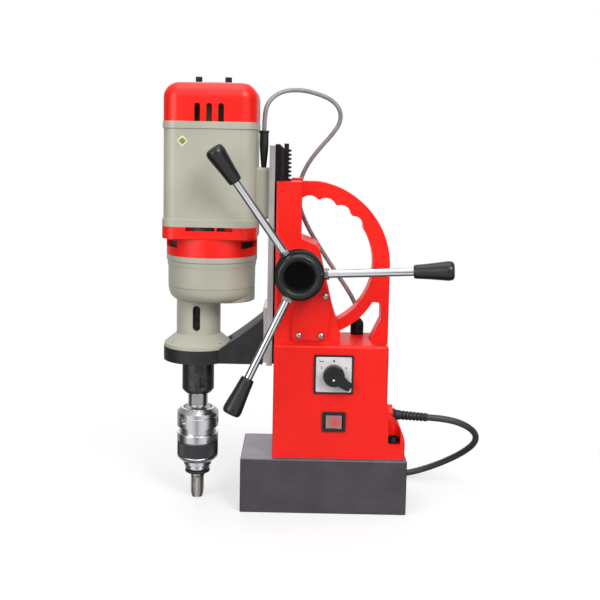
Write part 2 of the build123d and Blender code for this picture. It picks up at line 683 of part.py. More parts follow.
def rocker_housing():
    """Bezel and box of the magnet's rocker switch in one moulding."""
    bezel = slab(ROCKER_X - ROCKER_BEZEL_X / 2, ROCKER_X + ROCKER_BEZEL_X / 2, FRONT - 2.5, FRONT,
                 ROCKER_Z - ROCKER_BEZEL_Z / 2, ROCKER_Z + ROCKER_BEZEL_Z / 2)
    bezel = fillet(bezel.edges().filter_by(Axis.Y), 1.5)
    bezel += slab(ROCKER_X - 13.4, ROCKER_X + 13.4, FRONT - 1, FRONT + 24, ROCKER_Z - 10.8, ROCKER_Z + 10.8)
    return bezel - slab(ROCKER_X - 12, ROCKER_X + 12, FRONT - 6, FRONT + 12, ROCKER_Z - 9.2, ROCKER_Z + 9.2)


def rocker_button():
    """Translucent rocker that tips left and right; its right half stands proud at rest."""
    half = 10.6
    outline = [(-half, 1.0), (-half, -2.6), (0.0, -1.2), (half, -5.0), (half, 1.0), (3.0, 7.0), (-3.0, 7.0)]
    solid = Pos(ROCKER_X, FRONT, ROCKER_Z) * upright_prism(outline, -8.8, 8.8)
    return fillet(solid.edges().filter_by(Axis.Z).sort_by(Axis.Y)[:1], 0.8)


def magnet_rectifier():
    """Circuit board and potted rectifier that feed the magnet."""
    y0 = REBATE_BACK - COVER_PLATE - 27
    board = slab(30, 72, y0, y0 + 2, SHELL_BOTTOM + 20, SHELL_BOTTOM + 105)
    block = slab(36, 66, y0 + 2, y0 + 14, SHELL_BOTTOM + 32, SHELL_BOTTOM + 62)
    foot = slab(34, 68, y0 - 6, y0 + 2, SHELL_BOTTOM, SHELL_BOTTOM + 20)
    return board + fillet(block.edges().filter_by(Axis.Y), 2.0) + foot


def lead_gland():
    """Domed gland on the box top that the motor lead goes into."""
    top = BOX_TOP + GLAND_HEIGHT
    bore = LEAD_DIAMETER / 2
    body = turned([(bore, SHELL_TOP - 6), (8.5, SHELL_TOP - 6), (8.5, SHELL_TOP), (6.0, SHELL_TOP),
                   (6.0, BOX_TOP), (GLAND_RADIUS + 0.8, BOX_TOP), (GLAND_RADIUS + 0.8, BOX_TOP + 4),
                   (GLAND_RADIUS, BOX_TOP + 4), (GLAND_RADIUS, top - 7), (GLAND_RADIUS * 0.85, top - 3),
                   (GLAND_RADIUS * 0.55, top), (bore, top)], GLAND_X, GLAND_Y)
    return body


# ---------------------------------------------------------------- carriage slide


def slide_plate():
    """Ground plate with a thicker seat for the arm at its lower end."""
    half = PLATE_WIDTH / 2
    plate = slab(PLATE_LEFT, PLATE_RIGHT, -half, half, PLATE_BOTTOM, PLATE_TOP)
    plate = chamfer(plate.faces().sort_by(Axis.Z)[-1].edges(), 1.0)
    seat = slab(PLATE_LEFT - SEAT_THICKNESS, PLATE_LEFT + 1, -half, half,
                PLATE_BOTTOM + 4, PLATE_BOTTOM + 78)
    seat = chamfer(seat.faces().sort_by(Axis.X)[0].edges(), 1.2)
    plate += seat
    for y, z in arm_screw_places():
        plate -= pin_x(3.0, y, z, PLATE_LEFT - 20, PLATE_RIGHT + 1)
    for y, z in slide_screw_places():
        plate -= pin_x(2.5, y, z, PLATE_LEFT - 1, PLATE_RIGHT + 1)
        plate -= pin_x(4.6, y, z, PLATE_LEFT - 1, PLATE_LEFT + 5)
    return plate


def slide_screw_places():
    """Screws that hold the dovetail bar, in two rows clear of the arm seat and the motor."""
    return [(y, z) for z in (290.0, 345.0, 470.0) for y in (-12.0, 12.0)]


def slide_screws():
    """Socket screws of the dovetail bar, and the studs that tie bar, plate and arm together."""
    seat = PLATE_LEFT + 5.0
    screws = [facing_left(cap_screw(4.5, 4.5, 2.5, 9.0, 2.0), seat, y, z) for y, z in slide_screw_places()]
    outer = PLATE_LEFT - SEAT_THICKNESS - 13
    screws += [pin_x(3.0, y, z, outer, PLATE_RIGHT + 6) for y, z in arm_screw_places()]
    return group("slide_screws", screws)


def dovetail_bar():
    flanks = grown_dovetail(PLATE_RIGHT, DOVETAIL_FACE, 0.0, 0.0)
    bar = upright_prism(flanks, PLATE_BOTTOM, PLATE_TOP + 1.0)
    notch = [(PLATE_RIGHT + 4, PLATE_TOP + 2), (DOVETAIL_FACE + 1, PLATE_TOP + 2),
             (DOVETAIL_FACE + 1, PLATE_TOP - 6)]
    bar -= side_prism(notch, -60, 60)
    for y, z in slide_screw_places():
        bar -= pin_x(2.5, y, z, PLATE_RIGHT - 1, PLATE_RIGHT + 7)
    for y, z in arm_screw_places():
        bar -= pin_x(3.0, y, z, PLATE_RIGHT - 1, PLATE_RIGHT + 7)
    return bar


def rack():
    """Straight teeth on the dovetail bar, in mesh with the feed pinion."""
    pitch = math.pi * TOOTH_MODULE
    line = RACK_TIP - TOOTH_MODULE
    root = RACK_TIP - 2.25 * TOOTH_MODULE
    slope = math.tan(math.radians(PRESSURE_ANGLE))
    half = pitch / 4 - BACKLASH / 4
    below = int((FEED_Z - PLATE_BOTTOM - 4) / pitch) - 1
    above = int((PLATE_TOP - FEED_Z) / pitch) - 1
    points = [(DOVETAIL_FACE, PLATE_BOTTOM + 2), (root, PLATE_BOTTOM + 2)]
    for tooth in range(-below, above + 1):
        # a space faces the pinion's tooth at the feed height
        z = FEED_Z + (tooth + 0.5) * pitch
        points += [(root, z - half - (line - root) * slope), (RACK_TIP, z - half + TOOTH_MODULE * slope),
                   (RACK_TIP, z + half - TOOTH_MODULE * slope), (root, z + half + (line - root) * slope)]
    points += [(root, PLATE_TOP + 2), (DOVETAIL_FACE, PLATE_TOP + 2)]
    return side_prism(points, -RACK_WIDTH / 2, RACK_WIDTH / 2)


# ---------------------------------------------------------------- arm
def arm_screw_places():
    return [(y, z) for z in (PLATE_BOTTOM + 18, PLATE_BOTTOM + 43) for y in (-20.0, 20.0)]


def arm_bracket():
    """Black casting: a ring under the gearbox neck and a gusset up to the slide plate."""
    half = ARM_WIDTH / 2
    face_x = PLATE_LEFT - SEAT_THICKNESS
    ring = post(ARM_RADIUS, SPINDLE_X, 0, ARM_BOTTOM, ARM_TOP)
    web = slab(SPINDLE_X, face_x, -half, half, ARM_BOTTOM, ARM_TOP)
    start = SPINDLE_X + 30.0
    middle = ((start + face_x) / 2, (ARM_TOP + GUSSET_TOP) / 2 - GUSSET_SAG)
    curve = ThreePointArc((start, ARM_TOP), middle, (face_x, GUSSET_TOP))
    base = Polyline((face_x, GUSSET_TOP), (face_x, ARM_BOTTOM + 1), (start, ARM_BOTTOM + 1),
                    (start, ARM_TOP))
    gusset = side_profile(curve + base, -half, half)
    arm = ring + web + gusset
    arm -= post(NECK_FLANGE_RADIUS + 0.6, SPINDLE_X, 0, ARM_TOP, GUSSET_TOP + 50)
    arm -= post(34.0, SPINDLE_X, 0, ARM_TOP - 8, ARM_TOP + 1)
    arm -= post(SPINDLE_RADIUS + 1.0, SPINDLE_X, 0, ARM_BOTTOM - 1, ARM_TOP)
    for y, z in arm_screw_places():
        arm -= pin_x(3.0, y, z, face_x - 14, face_x + 1)
    for x, y in flange_screw_places():
        arm -= post(2.6, x, y, ARM_BOTTOM - 1, ARM_TOP + 1)
        arm -= post(4.6, x, y, ARM_BOTTOM - 1, ARM_BOTTOM + 6)
    return arm


def flange_screw_places():
    return places_on_circle(SPINDLE_X, 40.0, (40.0, 140.0, 220.0, 320.0))


def flange_screws():
    screws = []
    for x, y in flange_screw_places():
        screw = Rot(180, 0, 0) * cap_screw(4.4, 5.0, 2.5, 14.0, 2.2)
        screws.append(Pos(x, y, ARM_BOTTOM + 6) * screw)
    return group("flange_screws", screws)


# ---------------------------------------------------------------- gearbox
IDLER_SPINDLE = SECOND_MODULE * (SECOND_PINION_TEETH + SECOND_WHEEL_TEETH) / 2
IDLER_MOTOR = FIRST_MODULE * (FIRST_PINION_TEETH + FIRST_WHEEL_TEETH) / 2
IDLER_DX = (IDLER_SPINDLE ** 2 - IDLER_MOTOR ** 2 + MOTOR_OFFSET ** 2) / (2 * MOTOR_OFFSET)
IDLER_X = SPINDLE_X + IDLER_DX
IDLER_Y = math.sqrt(IDLER_SPINDLE ** 2 - IDLER_DX ** 2)
FLOOR_TOP = GEARBOX_BOTTOM + 5.0
PAN_STEP = GEARBOX_BOTTOM + 12.0
GEARBOX_BORE = GEARBOX_RADIUS - 2.5 - GEARBOX_WALL
BEARING_LOW = (213.0, 223.0)
BEARING_HIGH = (GEARBOX_BOTTOM, GEARBOX_BOTTOM + 9.0)
WHEEL_SPAN = (GEARBOX_BOTTOM + 15.4, GEARBOX_BOTTOM + 29.4)
IDLER_PINION_SPAN = (GEARBOX_BOTTOM + 14.4, GEARBOX_BOTTOM + 31.4)
IDLER_WHEEL_SPAN = (GEARBOX_BOTTOM + 32.4, GEARBOX_BOTTOM + 40.4)
PINION_SPAN = (GEARBOX_BOTTOM + 31.4, GEARBOX_BOTTOM + 42.4)
ROOF = GEARBOX_TOP - 10.0
IDLER_SHAFT_RADIUS = 5.0
NEEDLE_RADIUS = 8.0
ARMATURE_RADIUS = 6.0


def gearbox_screw_places():
    return places_on_circle(MOTOR_X, 51.0, (150.0, 215.0, 270.0, 325.0, 20.0))


def gear_pan():
    """Outside of the gear pan: a bowl under the motor and a straight-sided lobe towards the slide."""
    edge = GEARBOX_RADIUS - 2.5
    bowl = turned([(0, GEARBOX_BOTTOM), (edge - 14.5, GEARBOX_BOTTOM), (edge - 8.0, GEARBOX_BOTTOM + 2.0),
                   (edge - 3.5, GEARBOX_BOTTOM + 6.5), (edge - 1.0, GEARBOX_BOTTOM + 12.0),
                   (edge, GEARBOX_SPLIT), (0, GEARBOX_SPLIT)], MOTOR_X, 0)
    lobe = post(LOBE_RADIUS, MOTOR_X + edge - LOBE_RADIUS, 0, GEARBOX_BOTTOM, GEARBOX_SPLIT)
    return bowl + chamfer(lobe.edges().sort_by(Axis.Z)[0], 1.2)


def gearbox_housing():
    """Lower gearbox casting: flange, cone, neck with its drift window, and the gear pan."""
    outer = turned([(0, ARM_TOP - 8), (33.9, ARM_TOP - 8), (33.9, ARM_TOP), (NECK_FLANGE_RADIUS, ARM_TOP),
                    (NECK_FLANGE_RADIUS, ARM_TOP + 4.5), (NECK_RADIUS + 1.5, NECK_CONE_TOP - 1.5),
                    (NECK_RADIUS, NECK_CONE_TOP), (NECK_RADIUS, GEARBOX_BOTTOM + 2),
                    (0, GEARBOX_BOTTOM + 2)], SPINDLE_X, 0)
    shell = gear_pan()
    body = outer + shell
    body -= post(GEARBOX_RADIUS - 16.5, MOTOR_X, 0, FLOOR_TOP, PAN_STEP + 1)
    body -= post(GEARBOX_BORE, MOTOR_X, 0, PAN_STEP, GEARBOX_SPLIT + 1)
    body += post(25.0, SPINDLE_X, 0, GEARBOX_BOTTOM, BEARING_HIGH[1] + 2)
    body += post(10.0, IDLER_X, IDLER_Y, GEARBOX_BOTTOM, IDLER_PINION_SPAN[0] - 1.0)
    for x, y in gearbox_screw_places():
        body += post(6.0, x, y, PAN_STEP - 2, GEARBOX_SPLIT) & shell
        body -= post(2.5, x, y, PAN_STEP, GEARBOX_TOP)
    # bearing seats, the clear bore between them and the drift window
    body -= post(27.5, SPINDLE_X, 0, ARM_TOP - 9, BEARING_LOW[1])
    body -= post(23.0, SPINDLE_X, 0, BEARING_LOW[1] - 1, BEARING_HIGH[0] - 3)
    body -= post(19.0, SPINDLE_X, 0, BEARING_HIGH[0] - 4, BEARING_HIGH[0])
    body -= post(21.0, SPINDLE_X, 0, BEARING_HIGH[0], BEARING_HIGH[1] + 5)
    body -= post(NEEDLE_RADIUS, IDLER_X, IDLER_Y, GEARBOX_BOTTOM + 3, GEARBOX_TOP)
    window = slab(SPINDLE_X - NECK_WINDOW_WIDTH / 2, SPINDLE_X + NECK_WINDOW_WIDTH / 2, -60, 60,
                  NECK_WINDOW_BOTTOM, NECK_WINDOW_TOP)
    body -= fillet(window.edges().filter_by(Axis.Y), NECK_WINDOW_WIDTH / 2 - 0.05)
    for x, y in flange_screw_places():
        body -= post(2.5, x, y, ARM_TOP - 1, ARM_TOP + 8)
    return body


def gearbox_cover():
    """Upper gearbox casting, with the armature's lower bearing in its roof."""
    body = turned([(0, GEARBOX_SPLIT), (GEARBOX_RADIUS - 2.5, GEARBOX_SPLIT),
                   (GEARBOX_RADIUS - 2.2, GEARBOX_TOP - 16), (GEARBOX_RADIUS - 1.2, GEARBOX_TOP - 12),
                   (GEARBOX_RADIUS - 1.2, GEARBOX_TOP - 8), (GEARBOX_RADIUS, GEARBOX_TOP - 7),
                   (GEARBOX_RADIUS, GEARBOX_TOP), (0, GEARBOX_TOP)], MOTOR_X, 0)
    body -= post(GEARBOX_BORE, MOTOR_X, 0, GEARBOX_SPLIT - 1, ROOF)
    body += post(11.0, IDLER_X, IDLER_Y, IDLER_WHEEL_SPAN[1] + 1.0, ROOF + 1)
    for x, y in gearbox_screw_places():
        body += post(6.0, x, y, GEARBOX_SPLIT, ROOF + 1) & post(
            GEARBOX_RADIUS - 3, MOTOR_X, 0, GEARBOX_SPLIT, GEARBOX_TOP)
        body -= post(2.5, x, y, GEARBOX_SPLIT - 1, GEARBOX_TOP + 1)
        body -= post(4.6, x, y, GEARBOX_TOP - 5, GEARBOX_TOP + 1)
    body -= post(NEEDLE_RADIUS, IDLER_X, IDLER_Y, IDLER_WHEEL_SPAN[1], GEARBOX_TOP - 3)
    return body - post(16.0, MOTOR_X, 0, ROOF - 1, GEARBOX_TOP + 1)


def gearbox_screws():
    seat = GEARBOX_TOP - 5
    screw = cap_screw(4.4, 4.6, 2.5, seat - PAN_STEP - 1, 2.0)
    screws = [Pos(x, y, seat) * screw for x, y in gearbox_screw_places()]
    return group("gearbox_screws", screws)


def bearings():
    """Rolling bearings of the spindle, the idler and the armature, each as one ring."""
    needle = (NEEDLE_RADIUS, IDLER_SHAFT_RADIUS + FIT, IDLER_X, IDLER_Y)
    rings = [tube(27.5, LOWER_JOURNAL_RADIUS + FIT, SPINDLE_X, 0, *BEARING_LOW),
             tube(21.0, UPPER_JOURNAL_RADIUS + FIT, SPINDLE_X, 0, *BEARING_HIGH),
             tube(*needle, GEARBOX_BOTTOM + 3, IDLER_PINION_SPAN[0] - 1),
             tube(*needle, IDLER_WHEEL_SPAN[1] + 1, GEARBOX_TOP - 3),
             tube(16.0, ARMATURE_RADIUS + FIT, MOTOR_X, 0, ROOF, GEARBOX_TOP),
             tube(11.0, 4.0 + FIT, MOTOR_X, 0, CASING_TOP - 8, CASING_TOP - 1)]
    return group("bearings", rings)


# ---------------------------------------------------------------- motor
LUG_TOP = FAN_HOUSING_TOP + 77.0
LEAD_X = MOTOR_X + MOTOR_HALF + 8.6
LEAD_Y = -14.0


def fan_housing():
    """Red ring between gearbox and casing: a round skirt under a square band, both vented."""
    band = square_block(MOTOR_HALF + 1.5, MOTOR_CORNER + 1, MOTOR_X, FAN_BAND_BOTTOM, FAN_HOUSING_TOP)
    skirt = post(GEARBOX_RADIUS, MOTOR_X, 0, GEARBOX_TOP, FAN_BAND_BOTTOM + 1)
    body = band + skirt - post(54.0, MOTOR_X, 0, GEARBOX_TOP - 1, FAN_HOUSING_TOP + 1)
    for side in (-1, 1):
        # long air slot at the top edge, front and back, with a post near its middle
        y0, y1 = sorted((side * 50.0, side * (MOTOR_HALF + 3)))
        body -= slab(MOTOR_X - 29, MOTOR_X + 8, y0, y1, FAN_HOUSING_TOP - 5.0, FAN_HOUSING_TOP + 1)
        body -= slab(MOTOR_X + 11, MOTOR_X + 31, y0, y1, FAN_HOUSING_TOP - 5.0, FAN_HOUSING_TOP + 1)
    for angle in (VENT_ANGLE, 180.0 - VENT_ANGLE, 180.0 + VENT_ANGLE, -VENT_ANGLE):
        window = slab(48, 70, -VENT_HALF, VENT_HALF, GEARBOX_TOP + 11, FAN_BAND_BOTTOM - 4)
        body -= Pos(MOTOR_X, 0, 0) * Rot(0, 0, angle) * window
    return body


def motor_casing():
    """Beige casing with a rounded square plan, a bored stator seat and the slide lug."""
    rim = MOTOR_CORNER + 1
    rim_top = FAN_HOUSING_TOP + CASING_RIM - 4
    body = square_block(MOTOR_HALF, MOTOR_CORNER, MOTOR_X, FAN_HOUSING_TOP, CASING_TOP)
    body += square_block(MOTOR_HALF + 1.3, rim, MOTOR_X, CASING_TOP - 9, CASING_TOP)
    body += square_block(MOTOR_HALF + 1.6, rim, MOTOR_X, FAN_HOUSING_TOP, rim_top)
    lug = slab(MOTOR_X + MOTOR_HALF - 2, PLATE_LEFT, -26, 6, FAN_HOUSING_TOP + 10, LUG_TOP)
    body += chamfer(lug.edges().filter_by(Axis.X), 3.0)
    body -= post(STATOR_RADIUS, MOTOR_X, 0, FAN_HOUSING_TOP - 1, CASING_TOP - 10)
    for angle in (45.0, 135.0, 225.0, 315.0):
        port = slab(20, 48, -9, 9, CASING_TOP - 12, CASING_TOP + 1)
        body -= Pos(MOTOR_X, 0, 0) * Rot(0, 0, angle) * port
    body -= post(11.0, MOTOR_X, 0, CASING_TOP - 8, CASING_TOP + 1)
    body -= post(6.0, MOTOR_X, 0, CASING_TOP - 20, CASING_TOP)
    for y, z in lug_screw_places():
        body -= pin_x(3.0, y, z, PLATE_LEFT - 12, PLATE_LEFT + 1)
    return body


def lug_screw_places():
    return [(-10.0, FAN_HOUSING_TOP + 22), (-10.0, FAN_HOUSING_TOP + 62)]


def motor_cap():
    """Red cap over the brush gear, rounded at its top, with three air slots on two sides."""
    body = square_block(MOTOR_HALF + 0.6, CAP_CORNER + 1, MOTOR_X, CASING_TOP, CAP_TOP)
    body = fillet(body.faces().sort_by(Axis.Z)[-1].edges(), CAP_CORNER)
    inner = square_block(MOTOR_HALF - 3.4, CAP_CORNER - 3, MOTOR_X, CASING_TOP - 1, CAP_TOP - 4)
    body -= fillet(inner.faces().sort_by(Axis.Z)[-1].edges(), CAP_CORNER - 4)
    body += square_block(24.0, 6.0, MOTOR_X, CAP_TOP - 1, CAP_TOP + CAP_PAD)
    for offset in (-15.0, 0.0, 15.0):
        x = MOTOR_X + offset
        slot = slab(x - 3.6, x + 3.6, -80, 80, CASING_TOP - 1, CASING_TOP + 23)
        body -= fillet(slot.edges().filter_by(Axis.Y).sort_by(Axis.Z)[-2:], 3.5)
    for x in cap_screw_places():
        body += post(6.0, x, 0, CASING_TOP + 10, CAP_TOP - 3)
        body -= post(2.5, x, 0, CASING_TOP, CAP_TOP + 5)
    return body


def cap_screw_places():
    return [MOTOR_X - 19.5, MOTOR_X + 19.5]


def cap_screws():
    screw = cap_screw(4.4, CAP_SCREW_HEAD, 2.5, CAP_TOP - CASING_TOP - 9, 1.9)
    screws = [Pos(x, 0, CAP_TOP + CAP_PAD) * screw for x in cap_screw_places()]
    return group("cap_screws", screws)


def stator():
    """Laminated field ring with a winding at each end."""
    low, high = 398.0, 462.0
    core = tube(STATOR_RADIUS, 31.5, MOTOR_X, 0, low, high)
    ends = tube(50.0, 35.0, MOTOR_X, 0, low - 12, high + 12)
    return core + ends


def brush_gear():
    """Two brush boxes on the casing's bridge, each with a carbon brush in it."""
    parts = []
    for side in (-1, 1):
        y0, y1 = sorted((side * 18.2, side * 46.0))
        parts.append(slab(MOTOR_X - 7, MOTOR_X + 7, y0, y1, CASING_TOP - 28, CASING_TOP - 14))
    return group("brush_gear", parts)


def lead_boot():
    """Rubber boot in which the motor lead enters the casing's side."""
    top = CASING_TOP - 9
    foot = LUG_TOP
    return turned([(0, foot), (3.6, foot), (5.8, top - 13), (6.0, top - 3), (6.7, top - 3),
                   (6.7, top), (0, top)], LEAD_X, LEAD_Y)




def motor_label():
    """Blank diamond plate on the casing's left front."""
    half = 7.0
    x = MOTOR_X - MOTOR_HALF + MOTOR_CORNER + half + 1
    z = CASING_TOP - 25
    diamond = [(x - half, z), (x, z - half), (x + half, z), (x, z + half)]
    return side_prism(diamond, -MOTOR_HALF - 0.5, -MOTOR_HALF)


# ---------------------------------------------------------------- rotating parts
def direction(x0, y0, x1, y1):
    return math.degrees(math.atan2(y1 - y0, x1 - x0))


def armature_shaft():
    """Armature shaft: cut pinion at its foot, journals at both ends."""
    shaft = post(ARMATURE_RADIUS, MOTOR_X, 0, PINION_SPAN[1], CASING_TOP - 9)
    shaft += post(4.0, MOTOR_X, 0, CASING_TOP - 10, CASING_TOP - 0.5)
    to_idler = direction(MOTOR_X, 0, IDLER_X, IDLER_Y)
    shaft += upright_gear(FIRST_MODULE, FIRST_PINION_TEETH, MOTOR_X, 0, *PINION_SPAN, to_idler, 0.8)
    return shaft


def armature_core():
    """Laminations with end windings, and the commutator above them."""
    core = tube(30.5, ARMATURE_RADIUS, MOTOR_X, 0, 400, 460)
    core += tube(26.0, ARMATURE_RADIUS, MOTOR_X, 0, 391, 469)
    core += tube(17.5, ARMATURE_RADIUS, MOTOR_X, 0, 469, 502)
    return core


def cooling_fan():
    """Fan at the armature's foot: a disc with straight blades below the field winding."""
    z0 = FAN_BAND_BOTTOM - 4
    fan = tube(49.0, ARMATURE_RADIUS, MOTOR_X, 0, z0, z0 + 3)
    fan += tube(11.0, ARMATURE_RADIUS, MOTOR_X, 0, z0, z0 + 16)
    for blade in range(12):
        vane = slab(14, 48.5, -1.2, 1.2, z0 + 2, z0 + 14)
        fan += Pos(MOTOR_X, 0, 0) * Rot(0, 0, 30 * blade) * vane
    return fan


def idler_gear():
    """Idler cluster: the large first wheel above the small second pinion."""
    to_motor = direction(IDLER_X, IDLER_Y, MOTOR_X, 0)
    to_spindle = direction(IDLER_X, IDLER_Y, SPINDLE_X, 0)
    shaft = post(IDLER_SHAFT_RADIUS, IDLER_X, IDLER_Y, GEARBOX_BOTTOM + 4, GEARBOX_TOP - 4)
    wheel = upright_gear(FIRST_MODULE, FIRST_WHEEL_TEETH, IDLER_X, IDLER_Y, *IDLER_WHEEL_SPAN,
                         to_motor + 180.0 / FIRST_WHEEL_TEETH, 0.8)
    pinion = upright_gear(SECOND_MODULE, SECOND_PINION_TEETH, IDLER_X, IDLER_Y, IDLER_PINION_SPAN[0],
                          IDLER_WHEEL_SPAN[0], to_spindle, 0.8)
    return shaft + wheel + pinion


SLOT_IN_SPINDLE = (228.0, 262.0)


def spindle():
    """Spindle with its Morse socket, drift slot and the large wheel keyed on top."""
    body = turned([(0, SPINDLE_BOTTOM), (SPINDLE_RADIUS - 4, SPINDLE_BOTTOM),
                   (SPINDLE_RADIUS, SPINDLE_BOTTOM + 5), (SPINDLE_RADIUS, BEARING_LOW[0]),
                   (LOWER_JOURNAL_RADIUS, BEARING_LOW[0]),
                   (LOWER_JOURNAL_RADIUS, BEARING_HIGH[0] - 5), (UPPER_JOURNAL_RADIUS, BEARING_HIGH[0] - 5),
                   (UPPER_JOURNAL_RADIUS, WHEEL_SPAN[1] + 0.6), (0, WHEEL_SPAN[1] + 0.6)], SPINDLE_X, 0)
    body -= taper_solid(0.0)
    body -= slab(SPINDLE_X - 4, SPINDLE_X + 4, -40, 40, *SLOT_IN_SPINDLE)
    body -= slab(SPINDLE_X + 4, SPINDLE_X + 11, -SPINDLE_RADIUS - 5, -15.5,
                 SPINDLE_BOTTOM + 10, SPINDLE_BOTTOM + 23)
    to_idler = direction(SPINDLE_X, 0, IDLER_X, IDLER_Y)
    wheel = upright_gear(SECOND_MODULE, SECOND_WHEEL_TEETH, SPINDLE_X, 0, *WHEEL_SPAN,
                         to_idler + 180.0 / SECOND_WHEEL_TEETH, 0.8)
    return body + wheel


def taper_solid(shrink):
    """Morse taper shank space, large end down."""
    top = SPINDLE_BOTTOM + TAPER_LENGTH
    return turned([(0, SPINDLE_BOTTOM - 1), (TAPER_LARGE_RADIUS - shrink, SPINDLE_BOTTOM - 1),
                   (TAPER_SMALL_RADIUS - shrink, top), (0, top)], SPINDLE_X, 0)


def chuck_body():
    """Taper shank with tang, collar and the inner core of the quick-change chuck."""
    shank = taper_solid(0.0) & post(40, SPINDLE_X, 0, SPINDLE_BOTTOM, 400)
    tang = slab(SPINDLE_X - 3.5, SPINDLE_X + 3.5, -8, 8, SPINDLE_BOTTOM + TAPER_LENGTH - 2,
                SPINDLE_BOTTOM + TAPER_LENGTH + 13)
    lower = turned([(0, NOSE_BOTTOM + 8), (19.0, NOSE_BOTTOM + 8), (19.0, RING_BOTTOM - 10),
                    (24.5, RING_BOTTOM - 9), (24.5, RING_BOTTOM), (20.0, RING_BOTTOM),
                    (20.0, RING_TOP - 3), (15.0, RING_TOP + 1), (ARBOR_RADIUS, RING_TOP + 2),
                    (ARBOR_RADIUS, SPINDLE_BOTTOM), (0, SPINDLE_BOTTOM)], SPINDLE_X, 0)
    lower -= post(12.0, SPINDLE_X, 0, NOSE_BOTTOM, SLEEVE_TOP - 6)
    for side in (-1, 1):
        y0, y1 = sorted((side * 11.2, side * 20.0))
        lower -= slab(SPINDLE_X - 20, SPINDLE_X + 20, y0, y1, RING_TOP + 4, SPINDLE_BOTTOM - 2)
    return shank + tang + lower


def clutch_ring():
    """Adjusting ring of the chuck, with a spanner hole on its lower edge."""
    ring = turned([(20.0, RING_BOTTOM), (CHUCK_RADIUS, RING_BOTTOM), (CHUCK_RADIUS, RING_TOP - 12),
                   (CHUCK_RADIUS - 0.6, RING_TOP - 11.4), (CHUCK_RADIUS - 0.6, RING_TOP - 10.6),
                   (CHUCK_RADIUS, RING_TOP - 10), (CHUCK_RADIUS, RING_TOP - 6),
                   (CHUCK_RADIUS - 5.5, RING_TOP), (20.0, RING_TOP)], SPINDLE_X, 0)
    for angle in (232.0, 352.0, 112.0):
        hole = pin_x(4.3, 0, RING_BOTTOM + 9.0, 23.0, 40.0)
        ring -= Pos(SPINDLE_X, 0, 0) * Rot(0, 0, angle) * hole
    return ring


def quick_change_sleeve():
    """Outer sleeve that is pushed up to let the tap adapter go."""
    inner = 19.0 + 0.08
    return turned([(24.9, SLEEVE_TOP), (CHUCK_RADIUS, SLEEVE_TOP), (CHUCK_RADIUS, SLEEVE_BOTTOM + 5),
                   (CHUCK_RADIUS - 5.0, SLEEVE_BOTTOM), (inner, SLEEVE_BOTTOM), (inner, SLEEVE_BOTTOM + 18),
                   (24.9, SLEEVE_BOTTOM + 18)], SPINDLE_X, 0)


def sleeve_spring():
    """Return spring of the sleeve, as three flat-wound turns."""
    inner, outer = 19.4, 24.0
    low = SLEEVE_BOTTOM + 18.0
    high = RING_BOTTOM - 10.2
    turn = (high - low) / 7
    points = [(inner, low)]
    for step in range(7):
        edge = outer if step % 2 == 0 else outer - 1.6
        points += [(edge, low + turn * step), (edge, low + turn * (step + 1))]
    points += [(inner, high)]
    return turned(points, SPINDLE_X, 0)


def tap_adapter():
    """Tap adapter: a shank held in the chuck and a nose below it."""
    body = turned([(0, SLEEVE_TOP - 12), (0, NOSE_BOTTOM), (NOSE_RADIUS - 2.0, NOSE_BOTTOM),
                   (NOSE_RADIUS, NOSE_BOTTOM + 3), (NOSE_RADIUS, NOSE_BOTTOM + 6.5),
                   (NOSE_RADIUS - 1.5, NOSE_BOTTOM + 8), (12.0, NOSE_BOTTOM + 8),
                   (12.0, SLEEVE_TOP - 12)], SPINDLE_X, 0)
    return body - post(6.2, SPINDLE_X, 0, NOSE_BOTTOM - 1, NOSE_BOTTOM + 30)


def adapter_seal():
    """Black ring under the adapter's nose."""
    return tube(NOSE_RADIUS, TAP_RADIUS - 0.8, SPINDLE_X, 0, NOSE_BOTTOM - 4.2, NOSE_BOTTOM)


def tap():
    """Hand tap: round shank in the adapter, fluted thread below with a chamfered end."""
    top = NOSE_BOTTOM - 4.2
    neck = TAP_RADIUS - 0.8
    body = turned([(0, TAP_TIP), (TAP_RADIUS - 2.6, TAP_TIP), (TAP_RADIUS - 0.2, TAP_TIP + 6),
                   (TAP_RADIUS, TAP_TIP + 7), (TAP_RADIUS, top), (neck, top), (neck, NOSE_BOTTOM),
                   (6.2, NOSE_BOTTOM), (6.2, NOSE_BOTTOM + 28), (0, NOSE_BOTTOM + 28)], SPINDLE_X, 0)
    for angle in (50.0, 140.0, 230.0, 320.0):
        flute = post(3.2, TAP_RADIUS + 0.6, 0, TAP_TIP - 1, top - 3)
        body -= Pos(SPINDLE_X, 0, 0) * Rot(0, 0, angle) * flute
    return body


# ---------------------------------------------------------------- feed
def feed_shaft():
    """Pinion shaft along Y, with the hub seat at the front and a retaining head at the back."""
    shaft = pin_y(FEED_SHAFT_RADIUS, FEED_X, FEED_Z, HUB_FRONT + 4, COLUMN_WIDTH / 2 + 1)
    points = gear_outline(TOOTH_MODULE, PINION_TEETH, PRESSURE_ANGLE, BACKLASH / 2)
    gear = upright_prism(points, 0, PINION_WIDTH)
    turn = Pos(FEED_X, PINION_WIDTH / 2, FEED_Z) * Rot(90, 0, 0) * Rot(0, 0, 180)
    head = pin_y(13.5, FEED_X, FEED_Z, COLUMN_WIDTH / 2 + 1, COLUMN_WIDTH / 2 + 6)
    return shaft + turn * gear + head


def lever_frame(index):
    """Direction of one lever as a location: its +Z runs out along the lever."""
    angle = LEVER_ANGLE + 120.0 * index
    return Pos(FEED_X, LEVER_ROOT_Y, FEED_Z) * Rot(0, -angle, 0) * Rot(0, 0, -LEVER_CONE) * Rot(0, 90, 0)


LEVER_ROOT_Y = HUB_BACK - 12.0


